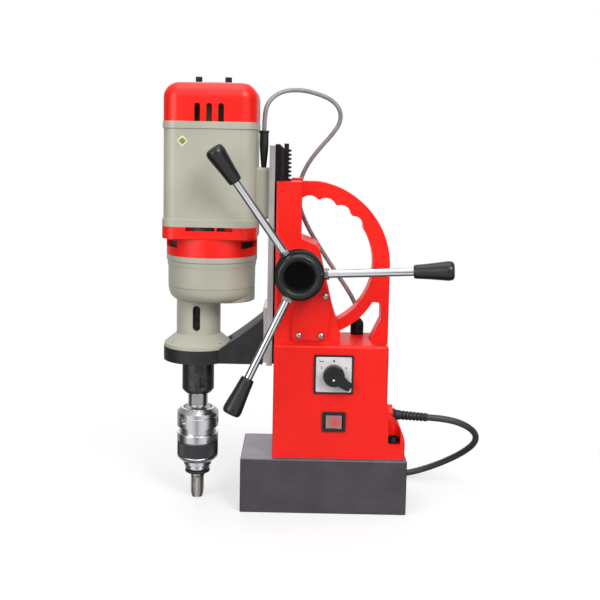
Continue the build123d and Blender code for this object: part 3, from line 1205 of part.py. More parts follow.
def feed_hub():
    """Steel hub that carries the three levers."""
    hub = pin_y(HUB_RADIUS, FEED_X, FEED_Z, HUB_FRONT, HUB_BACK)
    hub = chamfer(hub.edges(), 1.5)
    hub -= pin_y(FEED_SHAFT_RADIUS, FEED_X, FEED_Z, HUB_FRONT - 1, HUB_BACK + 1)
    for index in range(3):
        hub -= lever_frame(index) * post(LEVER_RADIUS, 0, 0, 17, 60)
    return hub


def hub_cap():
    """Black cap over the hub, with a rounded rim and a shallow dished face."""
    y0 = HUB_FRONT - HUB_CAP_LENGTH
    cap = pin_y(HUB_CAP_RADIUS, FEED_X, FEED_Z, y0, HUB_FRONT)
    cap = fillet(cap.faces().sort_by(Axis.Y)[0].edges(), 4.0)
    return cap - pin_y(20.5, FEED_X, FEED_Z, y0 - 1, y0 + 1.2)


def lever_rods():
    rods = [lever_frame(i) * post(LEVER_RADIUS, 0, 0, 17, LEVER_REACH + 30) for i in range(3)]
    return group("lever_rods", rods)


def lever_grips():
    grips = []
    for i in range(3):
        near, far = LEVER_REACH - 4, LEVER_REACH - 4 + GRIP_LENGTH
        cone = turned([(0, near), (GRIP_NEAR_RADIUS - 1.5, near), (GRIP_NEAR_RADIUS, near + 1.5),
                       (GRIP_FAR_RADIUS, far - 6), (GRIP_FAR_RADIUS - 1.2, far - 2.2),
                       (GRIP_FAR_RADIUS - 4.5, far), (0, far)], 0, 0)
        cone -= post(LEVER_RADIUS, 0, 0, near - 1, LEVER_REACH + 30)
        grips.append(lever_frame(i) * cone)
    return group("lever_grips", grips)


# ---------------------------------------------------------------- cords
def arc_radii(points):
    """Radius for each corner of a route: 0.45 of its shorter run over the tangent of half the turn."""
    radii = []
    for a, b, c in zip(points, points[1:], points[2:]):
        first = Vector(*b) - Vector(*a)
        second = Vector(*c) - Vector(*b)
        turn = math.radians(first.get_angle(second))
        radii.append(0.45 * min(first.length, second.length) / math.tan(turn / 2))
    return radii


def cord_tube(points, diameter, name):
    """Round tube along straight runs joined by tangent arcs, and its length."""
    radii = arc_radii(points)
    path = FilletPolyline(*points, radius=radii)
    start = Plane(origin=path @ 0, z_dir=path % 0)
    solid = sweep(start * Circle(diameter / 2), path=path)
    ratio = solid.volume / (math.pi * diameter ** 2 / 4 * path.length)
    print(f"{name}: {path.length:.0f} mm, smallest radius {min(radii):.0f} mm, volume ratio {ratio:.4f}")
    return solid


BOSS_END = BOX_RIGHT + 11.0
BOOT_TILT = 4.0
CORD_START = (BOSS_END + BOOT_LENGTH * math.cos(math.radians(BOOT_TILT)), 0.0,
              CORD_EXIT_Z - BOOT_LENGTH * math.sin(math.radians(BOOT_TILT)))
CORD_LOW = CORD_DIAMETER / 2 + 0.1
CORD_ROUTE = [CORD_START, (164.0, 0.0, 116.1), (185.5, 3.0, 111.0), (205.0, 12.5, 99.5),
              (216.5, 29.5, 84.0), (218.0, 50.5, 66.0), (208.0, 69.5, 48.0), (189.0, 82.5, 31.5),
              (165.0, 89.5, 18.0), (139.5, 90.5, 9.0), (114.0, 87.5, CORD_LOW + 0.3),
              (89.5, 83.0, CORD_LOW), (65.0, 79.5, CORD_LOW), (42.0, 76.5, CORD_LOW)]
COIL_X = 20.0
COIL_Y = 124.0
LEAD_ROUTE = [(LEAD_X, LEAD_Y, CASING_TOP - 9), (LEAD_X, LEAD_Y + 0.6, 521.0), (-83.5, -10.0, 538.0),
              (-72.0, -4.0, 551.0), (-55.5, 4.0, 557.0), (-36.0, 12.0, 557.5), (-16.0, 19.0, 553.5),
              (3.0, 25.0, 546.0), (14.5, 30.0, 533.0), (15.0, 35.0, 516.5), (4.5, 39.5, 500.5),
              (-10.0, 44.0, 484.0), (-24.5, 49.0, 465.5), (-36.0, 52.5, 444.0), (-41.0, 53.5, 420.5),
              (-38.0, 53.5, 397.0), (-28.5, 53.5, 375.0), (-15.5, 53.0, 353.0), (-1.5, 52.0, 331.5),
              (13.0, 49.5, 310.5), (27.0, 45.0, 291.5), (38.0, 40.0, 274.5),
              (GLAND_X, GLAND_Y + 0.6, 259.0), (GLAND_X, GLAND_Y, BOX_TOP + GLAND_HEIGHT)]


def cord_boot():
    """Tapered rubber strain relief where the mains cord leaves the box."""
    body = turned([(0, 0), (8.6, 0), (8.6, 3.0), (6.6, 5.0), (5.6, BOOT_LENGTH), (0, BOOT_LENGTH)], 0, 0)
    body = fillet(body.edges().sort_by(Axis.Z)[-1:], 0.8)
    return Pos(BOSS_END, 0, CORD_EXIT_Z) * Rot(0, 90 + BOOT_TILT, 0) * body


def mains_cord():
    return cord_tube(CORD_ROUTE, CORD_DIAMETER, "mains cord")


def motor_lead():
    return cord_tube(LEAD_ROUTE, LEAD_DIAMETER, "motor lead")


def cord_coil():
    """Outer shape of the wound mains cord, lying flat behind the base."""
    ring = tube(COIL_DIAMETER / 2, COIL_BORE / 2, COIL_X, COIL_Y, 0.1, COIL_DEPTH)
    return fillet(ring.edges().filter_by(GeomType.CIRCLE), 5.0)


PLUG_X = -42.0
PLUG_Y = COIL_Y + (COIL_DIAMETER + COIL_BORE) / 4
PLUG_LENGTH = 34.0
PLUG_TAIL = 22.5


def mains_plug():
    """Two-pin plug lying beside the coil, its tapered tail against the coil's last turn."""
    body = slab(PLUG_X - PLUG_LENGTH, PLUG_X, PLUG_Y - 17, PLUG_Y + 17, 0.1, 22)
    body = fillet(body.edges(), 5.0)
    tail = turned([(0, 0), (7.0, 0), (5.4, PLUG_TAIL), (0, PLUG_TAIL)], 0, 0)
    return body + Pos(PLUG_X - 1, PLUG_Y, 11) * Rot(0, 90, 0) * tail


def plug_pins():
    back = PLUG_X - PLUG_LENGTH
    pins = [pin_x(2.4, PLUG_Y + side * 9.5, 11, back - 19, back) for side in (-1, 1)]
    return group("plug_pins", pins)


# ---------------------------------------------------------------- write the nodes
NODES = [magnet_body, magnet_coils, magnet_potting, base_bolts, column, rear_cover, feed_cover, feed_bushes,
         panel_screws, gib, gib_screws, cam_switch_body, cam_switch_frame, cam_switch_plate, switch_knob,
         rocker_housing, rocker_button, magnet_rectifier, lead_gland, slide_plate, slide_screws, dovetail_bar,
         rack, arm_bracket, flange_screws, gearbox_housing, gearbox_cover, gearbox_screws, bearings,
         fan_housing, motor_casing, motor_cap, cap_screws, stator, brush_gear, lead_boot, motor_label,
         armature_shaft, armature_core, cooling_fan, idler_gear, spindle, chuck_body, clutch_ring,
         quick_change_sleeve, sleeve_spring, tap_adapter, adapter_seal, tap, feed_shaft, feed_hub, hub_cap,
         lever_rods, lever_grips, cord_boot, mains_cord, motor_lead, cord_coil, mains_plug, plug_pins]


def main():
    os.makedirs("parts", exist_ok=True)
    for build in NODES:
        name = build.__name__
        export_step(build(), f"parts/{name}.step")
        print("wrote", name)


main()
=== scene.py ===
"""Magnetic drill press: the finishes, built surfaces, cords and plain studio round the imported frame.

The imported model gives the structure. Each sub-assembly class below either refines one of its castings (a merged
copy with rounded edges) or builds a turned, knurled, threaded or swept surface in its place, and dresses it.
Everything is in metres, in the frame's own axes: +Z up, the operator on the -Y side.
"""
import json
import logging
import math
from dataclasses import dataclass
from enum import Enum

import bmesh
import bpy
import numpy as np
from mathutils import Matrix, Vector


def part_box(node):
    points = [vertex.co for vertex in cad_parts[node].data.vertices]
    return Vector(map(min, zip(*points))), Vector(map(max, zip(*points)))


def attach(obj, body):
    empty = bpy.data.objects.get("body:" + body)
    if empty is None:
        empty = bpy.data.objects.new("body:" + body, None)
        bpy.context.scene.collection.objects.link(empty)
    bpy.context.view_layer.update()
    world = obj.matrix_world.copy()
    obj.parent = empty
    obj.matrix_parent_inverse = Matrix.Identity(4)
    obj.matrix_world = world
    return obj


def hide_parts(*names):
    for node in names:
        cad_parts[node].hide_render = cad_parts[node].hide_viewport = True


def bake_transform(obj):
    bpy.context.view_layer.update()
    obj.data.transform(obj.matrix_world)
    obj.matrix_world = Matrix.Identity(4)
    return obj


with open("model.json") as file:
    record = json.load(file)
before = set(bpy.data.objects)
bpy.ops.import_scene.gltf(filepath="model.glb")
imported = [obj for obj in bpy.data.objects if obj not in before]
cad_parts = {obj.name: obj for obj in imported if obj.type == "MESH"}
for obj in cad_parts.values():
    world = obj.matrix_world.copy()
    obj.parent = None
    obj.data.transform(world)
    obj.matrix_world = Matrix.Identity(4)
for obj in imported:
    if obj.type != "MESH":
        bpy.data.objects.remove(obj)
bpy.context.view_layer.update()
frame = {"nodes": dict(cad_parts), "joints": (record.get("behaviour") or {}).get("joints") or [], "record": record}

LOG = logging.getLogger("drill_press")
MM = 0.001
FULL_TURN = 2.0 * math.pi
JOINTS = {joint["name"]: joint for joint in frame["joints"]}
BODY_OF = {node: body for body, nodes in frame["record"]["behaviour"]["bodies"].items() for node in nodes}
UP = np.array([0.0, 0.0, 1.0])
BACKWARDS = np.array([0.0, 1.0, 0.0])
RIGHT = np.array([1.0, 0.0, 0.0])


# ------------------------------------------------------------------------- node and colour helpers
def linear(hex_colour: str) -> tuple[float, float, float, float]:
    """Turns an sRGB hex colour into the linear values that shaders take.

    Each channel c in 0..1 becomes c/12.92 below 0.04045 and ((c + 0.055)/1.055)^2.4 above it.

    Args:
        hex_colour: Six hex digits after a hash, such as "#D8281C".

    Returns:
        Linear red, green and blue, and an alpha of 1.
    """
    values = np.array([int(hex_colour[i:i + 2], 16) for i in (1, 3, 5)]) / 255.0
    low, high = values / 12.92, ((values + 0.055) / 1.055) ** 2.4
    red, green, blue = np.where(values <= 0.04045, low, high)
    return float(red), float(green), float(blue), 1.0


def add_node(tree: bpy.types.NodeTree, kind: str, feeds: dict | None = None,
             **settings: object) -> bpy.types.Node:
    """Adds one node, with its settings and with what feeds its sockets.

    Args:
        tree: The material's or world's node tree.
        kind: The node's Blender type name, less its first word, ShaderNode.
        feeds: What each input socket gets, by its name or index: a value, or another node's output to link.
        settings: Node properties to set, by name.

    Returns:
        The new node.
    """
    node = tree.nodes.new("ShaderNode" + kind)
    for name, value in settings.items():
        setattr(node, name, value)
    for socket, value in (feeds or {}).items():
        if isinstance(value, bpy.types.NodeSocket):
            tree.links.new(value, node.inputs[socket])
        else:
            node.inputs[socket].default_value = value
    return node


def per_metre(size_mm: float) -> float:
    """Gives the pattern scale whose features are about size_mm apart on Object coordinates in metres."""
    return 1.0 / (size_mm * MM)


@dataclass
class Canvas:
    """A node tree while it is being dressed.

    Attributes:
        tree: The material's or world's node tree.
        place: Coordinates in metres that patterns follow.
        shader: The Principled shader that patterns feed, if there is one.
    """

    tree: bpy.types.NodeTree
    place: bpy.types.NodeSocket
    shader: bpy.types.Node | None = None

    def noise(self, size_mm: float, detail: float, rough: float = 0.5,
              place: bpy.types.NodeSocket | None = None) -> bpy.types.NodeSocket:
        """Gives a cloud pattern, 0 to 1, with features about size_mm apart."""
        return add_node(self.tree, "TexNoise",
                        {"Vector": self.place if place is None else place, "Scale": per_metre(size_mm),
                         "Detail": detail, "Roughness": rough}).outputs["Fac"]

    def cells(self, size_mm: float) -> bpy.types.NodeSocket:
        """Gives the distance to the nearest of scattered points about size_mm apart."""
        return add_node(self.tree, "TexVoronoi",
                        {"Vector": self.place, "Scale": per_metre(size_mm)}).outputs["Distance"]

    def spread(self, value: bpy.types.NodeSocket, source: tuple[float, float],
               target: tuple[float, float] = (0.0, 1.0), kind: str = "LINEAR") -> bpy.types.NodeSocket:
        """Maps the source range of a value onto the target range, and stops at its ends."""
        return add_node(self.tree, "MapRange",
                        {"Value": value, "From Min": source[0], "From Max": source[1], "To Min": target[0],
                         "To Max": target[1]}, interpolation_type=kind).outputs[0]

    def blend(self, share: bpy.types.NodeSocket, first: object, second: object) -> bpy.types.NodeSocket:
        """Blends two colours, each a value or an output, by a share."""
        return add_node(self.tree, "Mix", {"Factor": share, 6: first, 7: second}, data_type="RGBA").outputs[2]

    def combine(self, operation: str, first: object, second: object, kind: str = "Math") -> bpy.types.Node:
        """Adds one operation on two numbers, or on two vectors where the kind says so."""
        return add_node(self.tree, kind, {0: first, 1: second}, operation=operation)

    def mottle(self, size_mm: float, first: tuple, second: tuple, low: float = 0.35,
               high: float = 0.65) -> bpy.types.NodeSocket:
        """Blends two linear colours by a soft cloud, from its value low to its value high."""
        return self.blend(self.spread(self.noise(size_mm, 4.0), (low, high)), first, second)

    def feed(self, socket: str, value: bpy.types.NodeSocket) -> None:
        """Links an output to one of the shader's sockets."""
        self.tree.links.new(value, self.shader.inputs[socket])

    def uneven(self, mean: float, size_mm: float, spread: float) -> None:
        """Varies the roughness about its mean by a cloud."""
        cloud = self.noise(size_mm, 5.0, 0.6)
        self.feed("Roughness", self.spread(cloud, (0.3, 0.7), (mean - spread, mean + spread)))

    def relief(self, height: bpy.types.NodeSocket, depth_mm: float, strength: float,
               under: bpy.types.NodeSocket | None = None) -> bpy.types.NodeSocket:
        """Adds a bump to the shader.

        Args:
            height: The pattern that the relief follows, 0 to 1.
            depth_mm: Depth of the pattern in millimetres.
            strength: Share of it that shows.
            under: A coarser bump's normal that this one rides on.

        Returns:
            The normal, for a finer bump.
        """
        feeds = {"Height": height, "Distance": depth_mm * MM, "Strength": strength}
        if under is not None:
            feeds["Normal"] = under
        normal = add_node(self.tree, "Bump", feeds).outputs[0]
        self.feed("Normal", normal)
        return normal


# ---------------------------------------------------------------------------------------- finishes
@dataclass(frozen=True)
class Finish:
    """What every finish has: its common name, colour and shader numbers.

    Attributes:
        name: The finish's plain name, which its material takes.
        colour: Main sRGB colour.
        roughness: Mean roughness.
        metallic: 1 for bare metal, 0 for paint, plastic and rubber.
        ior: Index of refraction; metals keep the default.
        coat: Weight of a clear layer.
    """

    name: str
    colour: str
    roughness: float
    metallic: float = 0.0
    ior: float = 1.5
    coat: float = 0.0

    def material(self) -> bpy.types.Material:
        """Makes the finish's material once and gives the same one afterwards."""
        made = bpy.data.materials.get(self.name)
        if made:
            return made
        made = bpy.data.materials.new(self.name)
        tree = fresh_tree(made)
        shader = add_node(tree, "BsdfPrincipled",
                          {"Base Color": linear(self.colour), "Roughness": self.roughness,
                           "Metallic": self.metallic, "IOR": self.ior, "Coat Weight": self.coat,
                           "Coat Roughness": 0.08})
        add_node(tree, "OutputMaterial", {0: shader.outputs[0]})
        self.dress(Canvas(tree, add_node(tree, "TexCoord").outputs["Object"], shader))
        made.diffuse_color = linear(self.colour)
        return made

    def dress(self, on: Canvas) -> None:
        """Adds the finish's own pattern; each kind of finish has its own.

        Args:
            on: The material's node tree, its shader and its coordinates.
        """
        raise NotImplementedError

    def shade(self, factor: float) -> tuple[float, float, float, float]:
        """Gives the main colour times a factor, as linear values."""
        red, green, blue, _ = linear(self.colour)
        return min(red * factor, 1.0), min(green * factor, 1.0), min(blue * factor, 1.0), 1.0


@dataclass(frozen=True)
class SprayedEnamel(Finish):
    """Two-pack enamel sprayed on a casting: a glossy skin with a faint orange peel over the softened casting.

    Attributes:
        peel_mm: Distance between the peel's dimples.
        mirrored: Duller colour that only glossy rays see, a painted darker reflection of the enamel in nearby
            metal.
    """

    peel_mm: float = 2.2
    mirrored: str = "#2E2827"

    def dress(self, on: Canvas) -> None:
        """Adds the peel, the shallow waves of the casting, uneven gloss and a darker painted reflection colour for
        glossy rays.
        """
        body = on.mottle(70.0, self.shade(0.93), self.shade(1.04))
        # glossy rays get the mirrored colour: a painted reflection, darker than the enamel itself
        ray = add_node(on.tree, "LightPath").outputs["Is Glossy Ray"]
        on.feed("Base Color", on.blend(ray, body, linear(self.mirrored)))
        on.uneven(self.roughness, 25.0, 0.05)
        waves = on.relief(on.noise(14.0, 2.0), 0.25, 0.25)
        on.relief(on.noise(self.peel_mm, 1.0), 0.05, 0.35, waves)


@dataclass(frozen=True)
class RoughCastPaint(Finish):
    """Wrinkle paint over an unmachined iron casting: dull, with a sandy grain.

    Attributes:
        grit_mm: Distance between the sand grains that the mould left.
    """

    grit_mm: float = 1.3

    def dress(self, on: Canvas) -> None:
        """Adds sand grain, low casting waves and a dusty mottle."""
        on.feed("Base Color", on.mottle(18.0, self.shade(0.8), self.shade(1.35)))
        on.uneven(self.roughness, 9.0, 0.08)
        waves = on.relief(on.noise(10.0, 3.0), 0.5, 0.4)
        on.relief(on.cells(self.grit_mm), 0.12, 0.5, waves)


@dataclass(frozen=True)
class GroundSteel(Finish):
    """Surface-ground steel: fine straight scratches all one way, which stretch its highlights.

    Attributes:
        pitch_mm: Distance between scratches, drawn coarser than the real 0.05 mm so that it shows.
        along: The axis that the grinding ran along, 0 for X, 1 for Y, 2 for Z.
        top_light_factor: How much lighter the upward faces are painted: partly the brighter ground top, partly
            painted top light.
    """

    pitch_mm: float = 0.9
    along: int = 0
    top_light_factor: float = 1.0

    def dress(self, on: Canvas) -> None:
        """Adds the scratches to colour, roughness and relief, an oily cloud and a painted top light on upward
        faces.
        """
        stretch = [1.0, 1.0, 1.0]
        stretch[self.along] = 0.012
        drawn_out = add_node(on.tree, "Mapping", {"Vector": on.place, "Scale": stretch}).outputs[0]
        scratch = on.noise(self.pitch_mm, 6.0, 0.7, drawn_out)
        on.feed("Roughness", on.spread(scratch, (0.3, 0.7), (self.roughness - 0.09, self.roughness + 0.12)))
        fine = on.spread(scratch, (0.35, 0.65), (0.9, 1.06))
        normal = add_node(on.tree, "TexCoord").outputs["Normal"]
        upward = add_node(on.tree, "SeparateXYZ", {0: normal}).outputs[2]
        # upward faces painted lighter by facing direction: painted top light
        bright = on.spread(upward, (0.6, 0.95), (1.0, self.top_light_factor))
        gain = on.combine("MULTIPLY", fine, bright).outputs[0]
        cloud = on.mottle(45.0, self.shade(0.86), self.shade(1.08))
        on.feed("Base Color", add_node(on.tree, "VectorMath",
                                       {0: cloud, "Scale": gain}, operation="SCALE").outputs[0])
        on.relief(scratch, 0.02, 0.5)


@dataclass(frozen=True)
class TurnedSteel(Finish):
    """Steel turned on a lathe: rings round the work's axis on its sides and faces.

    Attributes:
        pitch_mm: Distance between tool marks, drawn coarser than the real 0.1 mm so that it shows.
        centre: A point of the axis, in metres.
        axis: The work's axis, 1 for Y or 2 for Z.
        stain: Share of darker oil stains.
    """

    pitch_mm: float = 0.7
    centre: tuple[float, float, float] = (0.0, 0.0, 0.0)
    axis: int = 2
    stain: float = 0.5

    def dress(self, on: Canvas) -> None:
        """Adds rings by distance from the axis and height along it, and a film of oil in clouds."""
        flat = [1.0, 1.0, 1.0]
        flat[self.axis] = 0.0
        moved = on.combine("SUBTRACT", on.place, self.centre, "VectorMath").outputs[0]
        across = on.combine("MULTIPLY", moved, flat, "VectorMath").outputs[0]
        radius = add_node(on.tree, "VectorMath", {0: across}, operation="LENGTH").outputs["Value"]
        height = add_node(on.tree, "SeparateXYZ", {0: moved}).outputs[self.axis]
        ring_place = add_node(on.tree, "CombineXYZ", {0: radius, 1: height}).outputs[0]
        rings = add_node(on.tree, "TexNoise",
                         {"Vector": ring_place, "Scale": per_metre(self.pitch_mm), "Detail": 5.0},
                         noise_dimensions="2D").outputs["Fac"]
        on.feed("Roughness", on.spread(rings, (0.3, 0.7), (self.roughness - 0.07, self.roughness + 0.1)))
        on.feed("Base Color", on.mottle(16.0, self.shade(1.05), self.shade(1.0 - 0.4 * self.stain), 0.45, 0.8))
        on.relief(rings, 0.016, 0.45)


@dataclass(frozen=True)
class PolishedChrome(Finish):
    """Bright chromium plate over polished rod: a clean mirror with hairline handling scratches."""

    def dress(self, on: Canvas) -> None:
        """Adds a breath of haze in clouds and sparse hairlines."""
        on.uneven(self.roughness, 12.0, 0.035)
        on.relief(on.noise(2.5, 8.0, 0.8), 0.01, 0.2)


@dataclass(frozen=True)
class BlackOxide(Finish):
    """Blackened or plated steel: a thin dull film, rubbed through to the metal in small patches.

    Attributes:
        rubbed: Colour of the steel that shows through.
    """

    rubbed: str = "#5E5B5A"

    def dress(self, on: Canvas) -> None:
        """Adds the mottled film, rubbed patches and a fine tooth."""
        body = on.mottle(7.0, self.shade(0.8), self.shade(1.3))
        patch = on.spread(on.noise(4.0, 7.0, 0.7), (0.6, 0.78), (0.0, 0.5))
        on.feed("Base Color", on.blend(patch, body, linear(self.rubbed)))
        on.uneven(self.roughness, 5.0, 0.09)
        on.relief(on.noise(0.8, 4.0), 0.03, 0.4)


@dataclass(frozen=True)
class MouldedPlastic(Finish):
    """Injection-moulded or pressed plastic: a spark-eroded grain, or a gloss skin where the grain is shallow.

    Attributes:
        grain_mm: Distance between the mould's pits.
        grain_depth_mm: Their depth.
    """

    grain_mm: float = 0.7
    grain_depth_mm: float = 0.04

    def dress(self, on: Canvas) -> None:
        """Adds the grain, faint flow clouds and uneven gloss."""
        on.feed("Base Color", on.mottle(22.0, self.shade(0.88), self.shade(1.14)))
        on.uneven(self.roughness, 11.0, 0.05)
        on.relief(on.cells(self.grain_mm), self.grain_depth_mm, 0.5)


@dataclass(frozen=True)
class SheathedRubber(Finish):
    """Rubber or PVC sheath: a soft sheen, a little dust and a pebbled skin.

    Attributes:
        dust: Colour of the dust that clings to it.
    """

    dust: str = "#7A7772"

    def dress(self, on: Canvas) -> None:
        """Adds dust in clouds and a fine pebbled skin."""
        body = on.mottle(14.0, self.shade(1.0), self.shade(1.25))
        dusty = on.spread(on.noise(5.0, 6.0), (0.55, 0.85), (0.0, 0.3))
        on.feed("Base Color", on.blend(dusty, body, linear(self.dust)))
        on.uneven(self.roughness, 6.0, 0.08)
        on.relief(on.noise(0.9, 3.0), 0.05, 0.4)


@dataclass(frozen=True)
class StackedSheet(Finish):
    """Stacked or wound stock: steel laminations or enamelled wire, seen as even lines.

    Attributes:
        layer_mm: Height of a layer, drawn at twice the real 0.5 mm so that it shows.
        dark: Colour between the layers.
    """

    layer_mm: float = 1.0
    dark: str = "#1B1614"

    def dress(self, on: Canvas) -> None:
        """Adds a line between each two layers, in colour and relief."""
        layers = add_node(on.tree, "TexWave",
                          {"Vector": on.place, "Scale": per_metre(self.layer_mm) / 20.0 * math.pi,
                           "Distortion": 0.3, "Detail": 1.0}, wave_type="BANDS",
                          bands_direction="Z").outputs["Fac"]
        on.feed("Base Color", on.blend(layers, linear(self.dark), linear(self.colour)))
        on.relief(layers, 0.2, 0.6)
        on.uneven(self.roughness, 8.0, 0.08)


@dataclass(frozen=True)
class GlowingLens(Finish):
    """Translucent rocker lens with a neon lamp behind it: clouded at the rim and red over the lamp.

    Attributes:
        rim: Colour away from the lamp.
        lamp: Middle of the glow, in metres.
        glow_mm: How far the glow reaches.
    """

    rim: str = "#C79A90"
    lamp: tuple[float, float, float] = (0.0, 0.0, 0.0)
    glow_mm: float = 12.8

    def dress(self, on: Canvas) -> None:
        """Blends the lamp's colour to the rim's by distance, with a prismatic ribbed back."""
        away = on.combine("DISTANCE", on.place, self.lamp, "VectorMath").outputs["Value"]
        share = on.spread(away, (0.0, self.glow_mm * MM), kind="SMOOTHSTEP")
        on.feed("Base Color", on.blend(share, linear(self.colour), linear(self.rim)))
        on.shader.inputs["Subsurface Weight"].default_value = 0.35
        on.shader.inputs["Subsurface Scale"].default_value = 2.0 * MM
        ribs = add_node(on.tree, "TexWave",
                        {"Vector": on.place, "Scale": per_metre(1.2) / 6.0, "Detail": 0.0},
                        bands_direction="X").outputs["Fac"]
        on.relief(ribs, 0.1, 0.35)
        on.uneven(self.roughness, 4.0, 0.04)


SPINDLE_X = float(JOINTS["spindle_spin"]["pos_m"][0])
FEED_AXIS = tuple(float(v) for v in JOINTS["feed_turn"]["pos_m"])
ROCKER_AT = tuple(float(v) for v in JOINTS["rocker_tilt"]["pos_m"])
SWITCH_AT = tuple(float(v) for v in JOINTS["switch_turn"]["pos_m"])
SPINDLE_CENTRE = (SPINDLE_X, 0.0, 0.0)


class Finishes(Enum):
    """The finishes of the real machine, one name for each."""

    RED_ENAMEL = SprayedEnamel("red_sprayed_enamel", "#FF1D12", 0.36, ior=1.45, coat=0.08)
    # mirrored is a painted reflection colour that glossy rays see in place of the beige
    BEIGE_ENAMEL = SprayedEnamel("beige_stove_enamel", "#B9B7A7", 0.38, coat=0.08, mirrored="#9A988B")
    BLACK_CASTING = RoughCastPaint("black_cast_paint", "#1D1C1F", 0.5)
    DARK_GROUND = GroundSteel("dark_ground_magnet_steel", "#57535A", 0.42, 0.6, pitch_mm=1.1, top_light_factor=2.9)
    GROUND = GroundSteel("ground_slide_steel", "#D6D1CE", 0.34, 0.7, along=2)
    BLACK_OXIDE = BlackOxide("black_oxide_steel", "#2C2A2C", 0.42, 0.7)
    SPINDLE_BLACK = BlackOxide("blackened_spindle", "#4A494C", 0.36, 0.75)
    CHUCK = TurnedSteel("satin_chuck_steel", "#DAD8DB", 0.22, 1.0, centre=SPINDLE_CENTRE, stain=0.3)
    CHUCK_DARK = TurnedSteel("dark_chuck_band", "#57555A", 0.36, 0.9, centre=SPINDLE_CENTRE)
    TAP_STEEL = TurnedSteel("high_speed_steel", "#C4C0BC", 0.33, 1.0, centre=SPINDLE_CENTRE, stain=0.8)
    HUB_STEEL = TurnedSteel("turned_hub_steel", "#A5A4A6", 0.3, 1.0, centre=FEED_AXIS, axis=1)
    FEED_STEEL = TurnedSteel("turned_shaft_steel", "#98969A", 0.35, 1.0, centre=FEED_AXIS, axis=1)
    SHAFT_STEEL = TurnedSteel("ground_gear_steel", "#A09EA2", 0.3, 1.0, centre=SPINDLE_CENTRE)
    CHROME = PolishedChrome("polished_chrome", "#E2E2E6", 0.1, 1.0)
    ZINC = BlackOxide("zinc_plated_screw", "#C3C3BF", 0.3, 1.0, rubbed="#E8E4D8")
    BRASS = TurnedSteel("machined_brass", "#B98F4A", 0.33, 1.0, pitch_mm=0.9)
    LAMINATIONS = StackedSheet("varnished_laminations", "#6F6A68", 0.45, 0.8)
    COPPER = StackedSheet("enamelled_copper_winding", "#A5562A", 0.32, 0.6, layer_mm=1.4, dark="#4A1E0E")
    RESIN = MouldedPlastic("cast_potting_resin", "#1E1C1C", 0.2, grain_mm=9.0, grain_depth_mm=0.1)
    PHENOLIC = MouldedPlastic("pressed_phenolic", "#201F21", 0.3, grain_mm=3.0, grain_depth_mm=0.03)
    BLACK_PLASTIC = MouldedPlastic("black_moulded_nylon", "#1E1D1F", 0.42)
    GLOSS_CAP = MouldedPlastic("gloss_black_abs", "#040404", 0.12, grain_mm=12.0, grain_depth_mm=0.02)
    SWITCH_GREY = MouldedPlastic("satin_switch_plate", "#DEDADC", 0.4, grain_mm=1.4, grain_depth_mm=0.015)
    MARK_INK = MouldedPlastic("printed_mark_ink", "#2A2A2C", 0.5)
    WHITE_DOT = MouldedPlastic("white_indicator", "#EDEDEA", 0.4)
    BOARD = MouldedPlastic("green_circuit_laminate", "#2A5C3A", 0.35)
    RUBBER = SheathedRubber("black_moulded_rubber", "#1C1C1D", 0.5, dust="#4A4846")
    CORD_SHEATH = SheathedRubber("dark_cord_sheath", "#3A3A3A", 0.46, dust="#6A6866")
    LEAD_SHEATH = SheathedRubber("pale_grey_pvc_lead", "#8E8C8E", 0.4, dust="#A8A5A5")
    BRUSH_BOARD = MouldedPlastic("brown_brush_board", "#7A5F44", 0.5)
    LENS = GlowingLens("red_rocker_lens", "#E8373A", 0.25, rim="#A58384",
                       lamp=(ROCKER_AT[0] + 3.0 * MM, ROCKER_AT[1], ROCKER_AT[2]))
    LABEL_BORDER = MouldedPlastic("cream_label_vinyl", "#E9E2C4", 0.32)
    LABEL_FACE = MouldedPlastic("olive_label_vinyl", "#8C8A4A", 0.3)


# --------------------------------------------------------------------------------- surface helpers
def rounded_profile(corners: list[tuple[float, float, float]], steps: int = 5) -> np.ndarray:
    """Rounds the corners of a turned profile.

    A corner P with neighbours A and B is replaced by the curve (1-t)^2 S + 2t(1-t) P + t^2 E, where S and E lie
    at the corner's rounding from P on its two sides, and no further than half way to the neighbour.

    Args:
        corners: Radius, height and rounding of each corner in millimetres.
        steps: Points on each rounded corner, less one.

    Returns:
        Radius and height of each point in metres, as rows.
    """
    points = np.array([[r, h] for r, h, _ in corners], float)
    out = [points[:1]]
    share = np.linspace(0.0, 1.0, steps + 1)[:, None]
    for index in range(1, len(points) - 1):
        before, corner, after = points[index - 1], points[index], points[index + 1]
        first, second = before - corner, after - corner
        reach = min(corners[index][2], np.linalg.norm(first) * 0.49, np.linalg.norm(second) * 0.49)
        if reach < 1e-6:
            out.append(corner[None])
            continue
        start = corner + first / np.linalg.norm(first) * reach
        end = corner + second / np.linalg.norm(second) * reach
        out.append((1 - share) ** 2 * start + 2 * share * (1 - share) * corner + share ** 2 * end)
    out.append(points[-1:])
    return np.vstack(out) * MM


def cross_frame(axis: np.ndarray) -> tuple[np.ndarray, np.ndarray]:
    """Gives two unit vectors square to an axis and to each other.

    Args:
        axis: Unit vector.

    Returns:
        The vectors side and other, such that side x other = axis.
    """
    helper = RIGHT if abs(axis[0]) < 0.9 else BACKWARDS
    side = np.cross(helper, axis)
    side /= np.linalg.norm(side)
    return side, np.cross(axis, side)


def turned_grid(profile: np.ndarray, origin: np.ndarray, axis: np.ndarray, segments: int) -> np.ndarray:
    """Turns a profile about an axis.

    Point (i, j) is origin + h_i axis + r_i (cos t_j side + sin t_j other), with t_j spaced evenly round the turn.

    Args:
        profile: Radius and height in metres, as rows.
        origin: Point of the axis that heights start from.
        axis: Unit vector.
        segments: Points round the turn.

    Returns:
        Grid of points, rows along the profile and columns round the axis.
    """
    return wavy_grid(np.tile(profile[:, :1], segments), profile[:, 1], origin, axis)


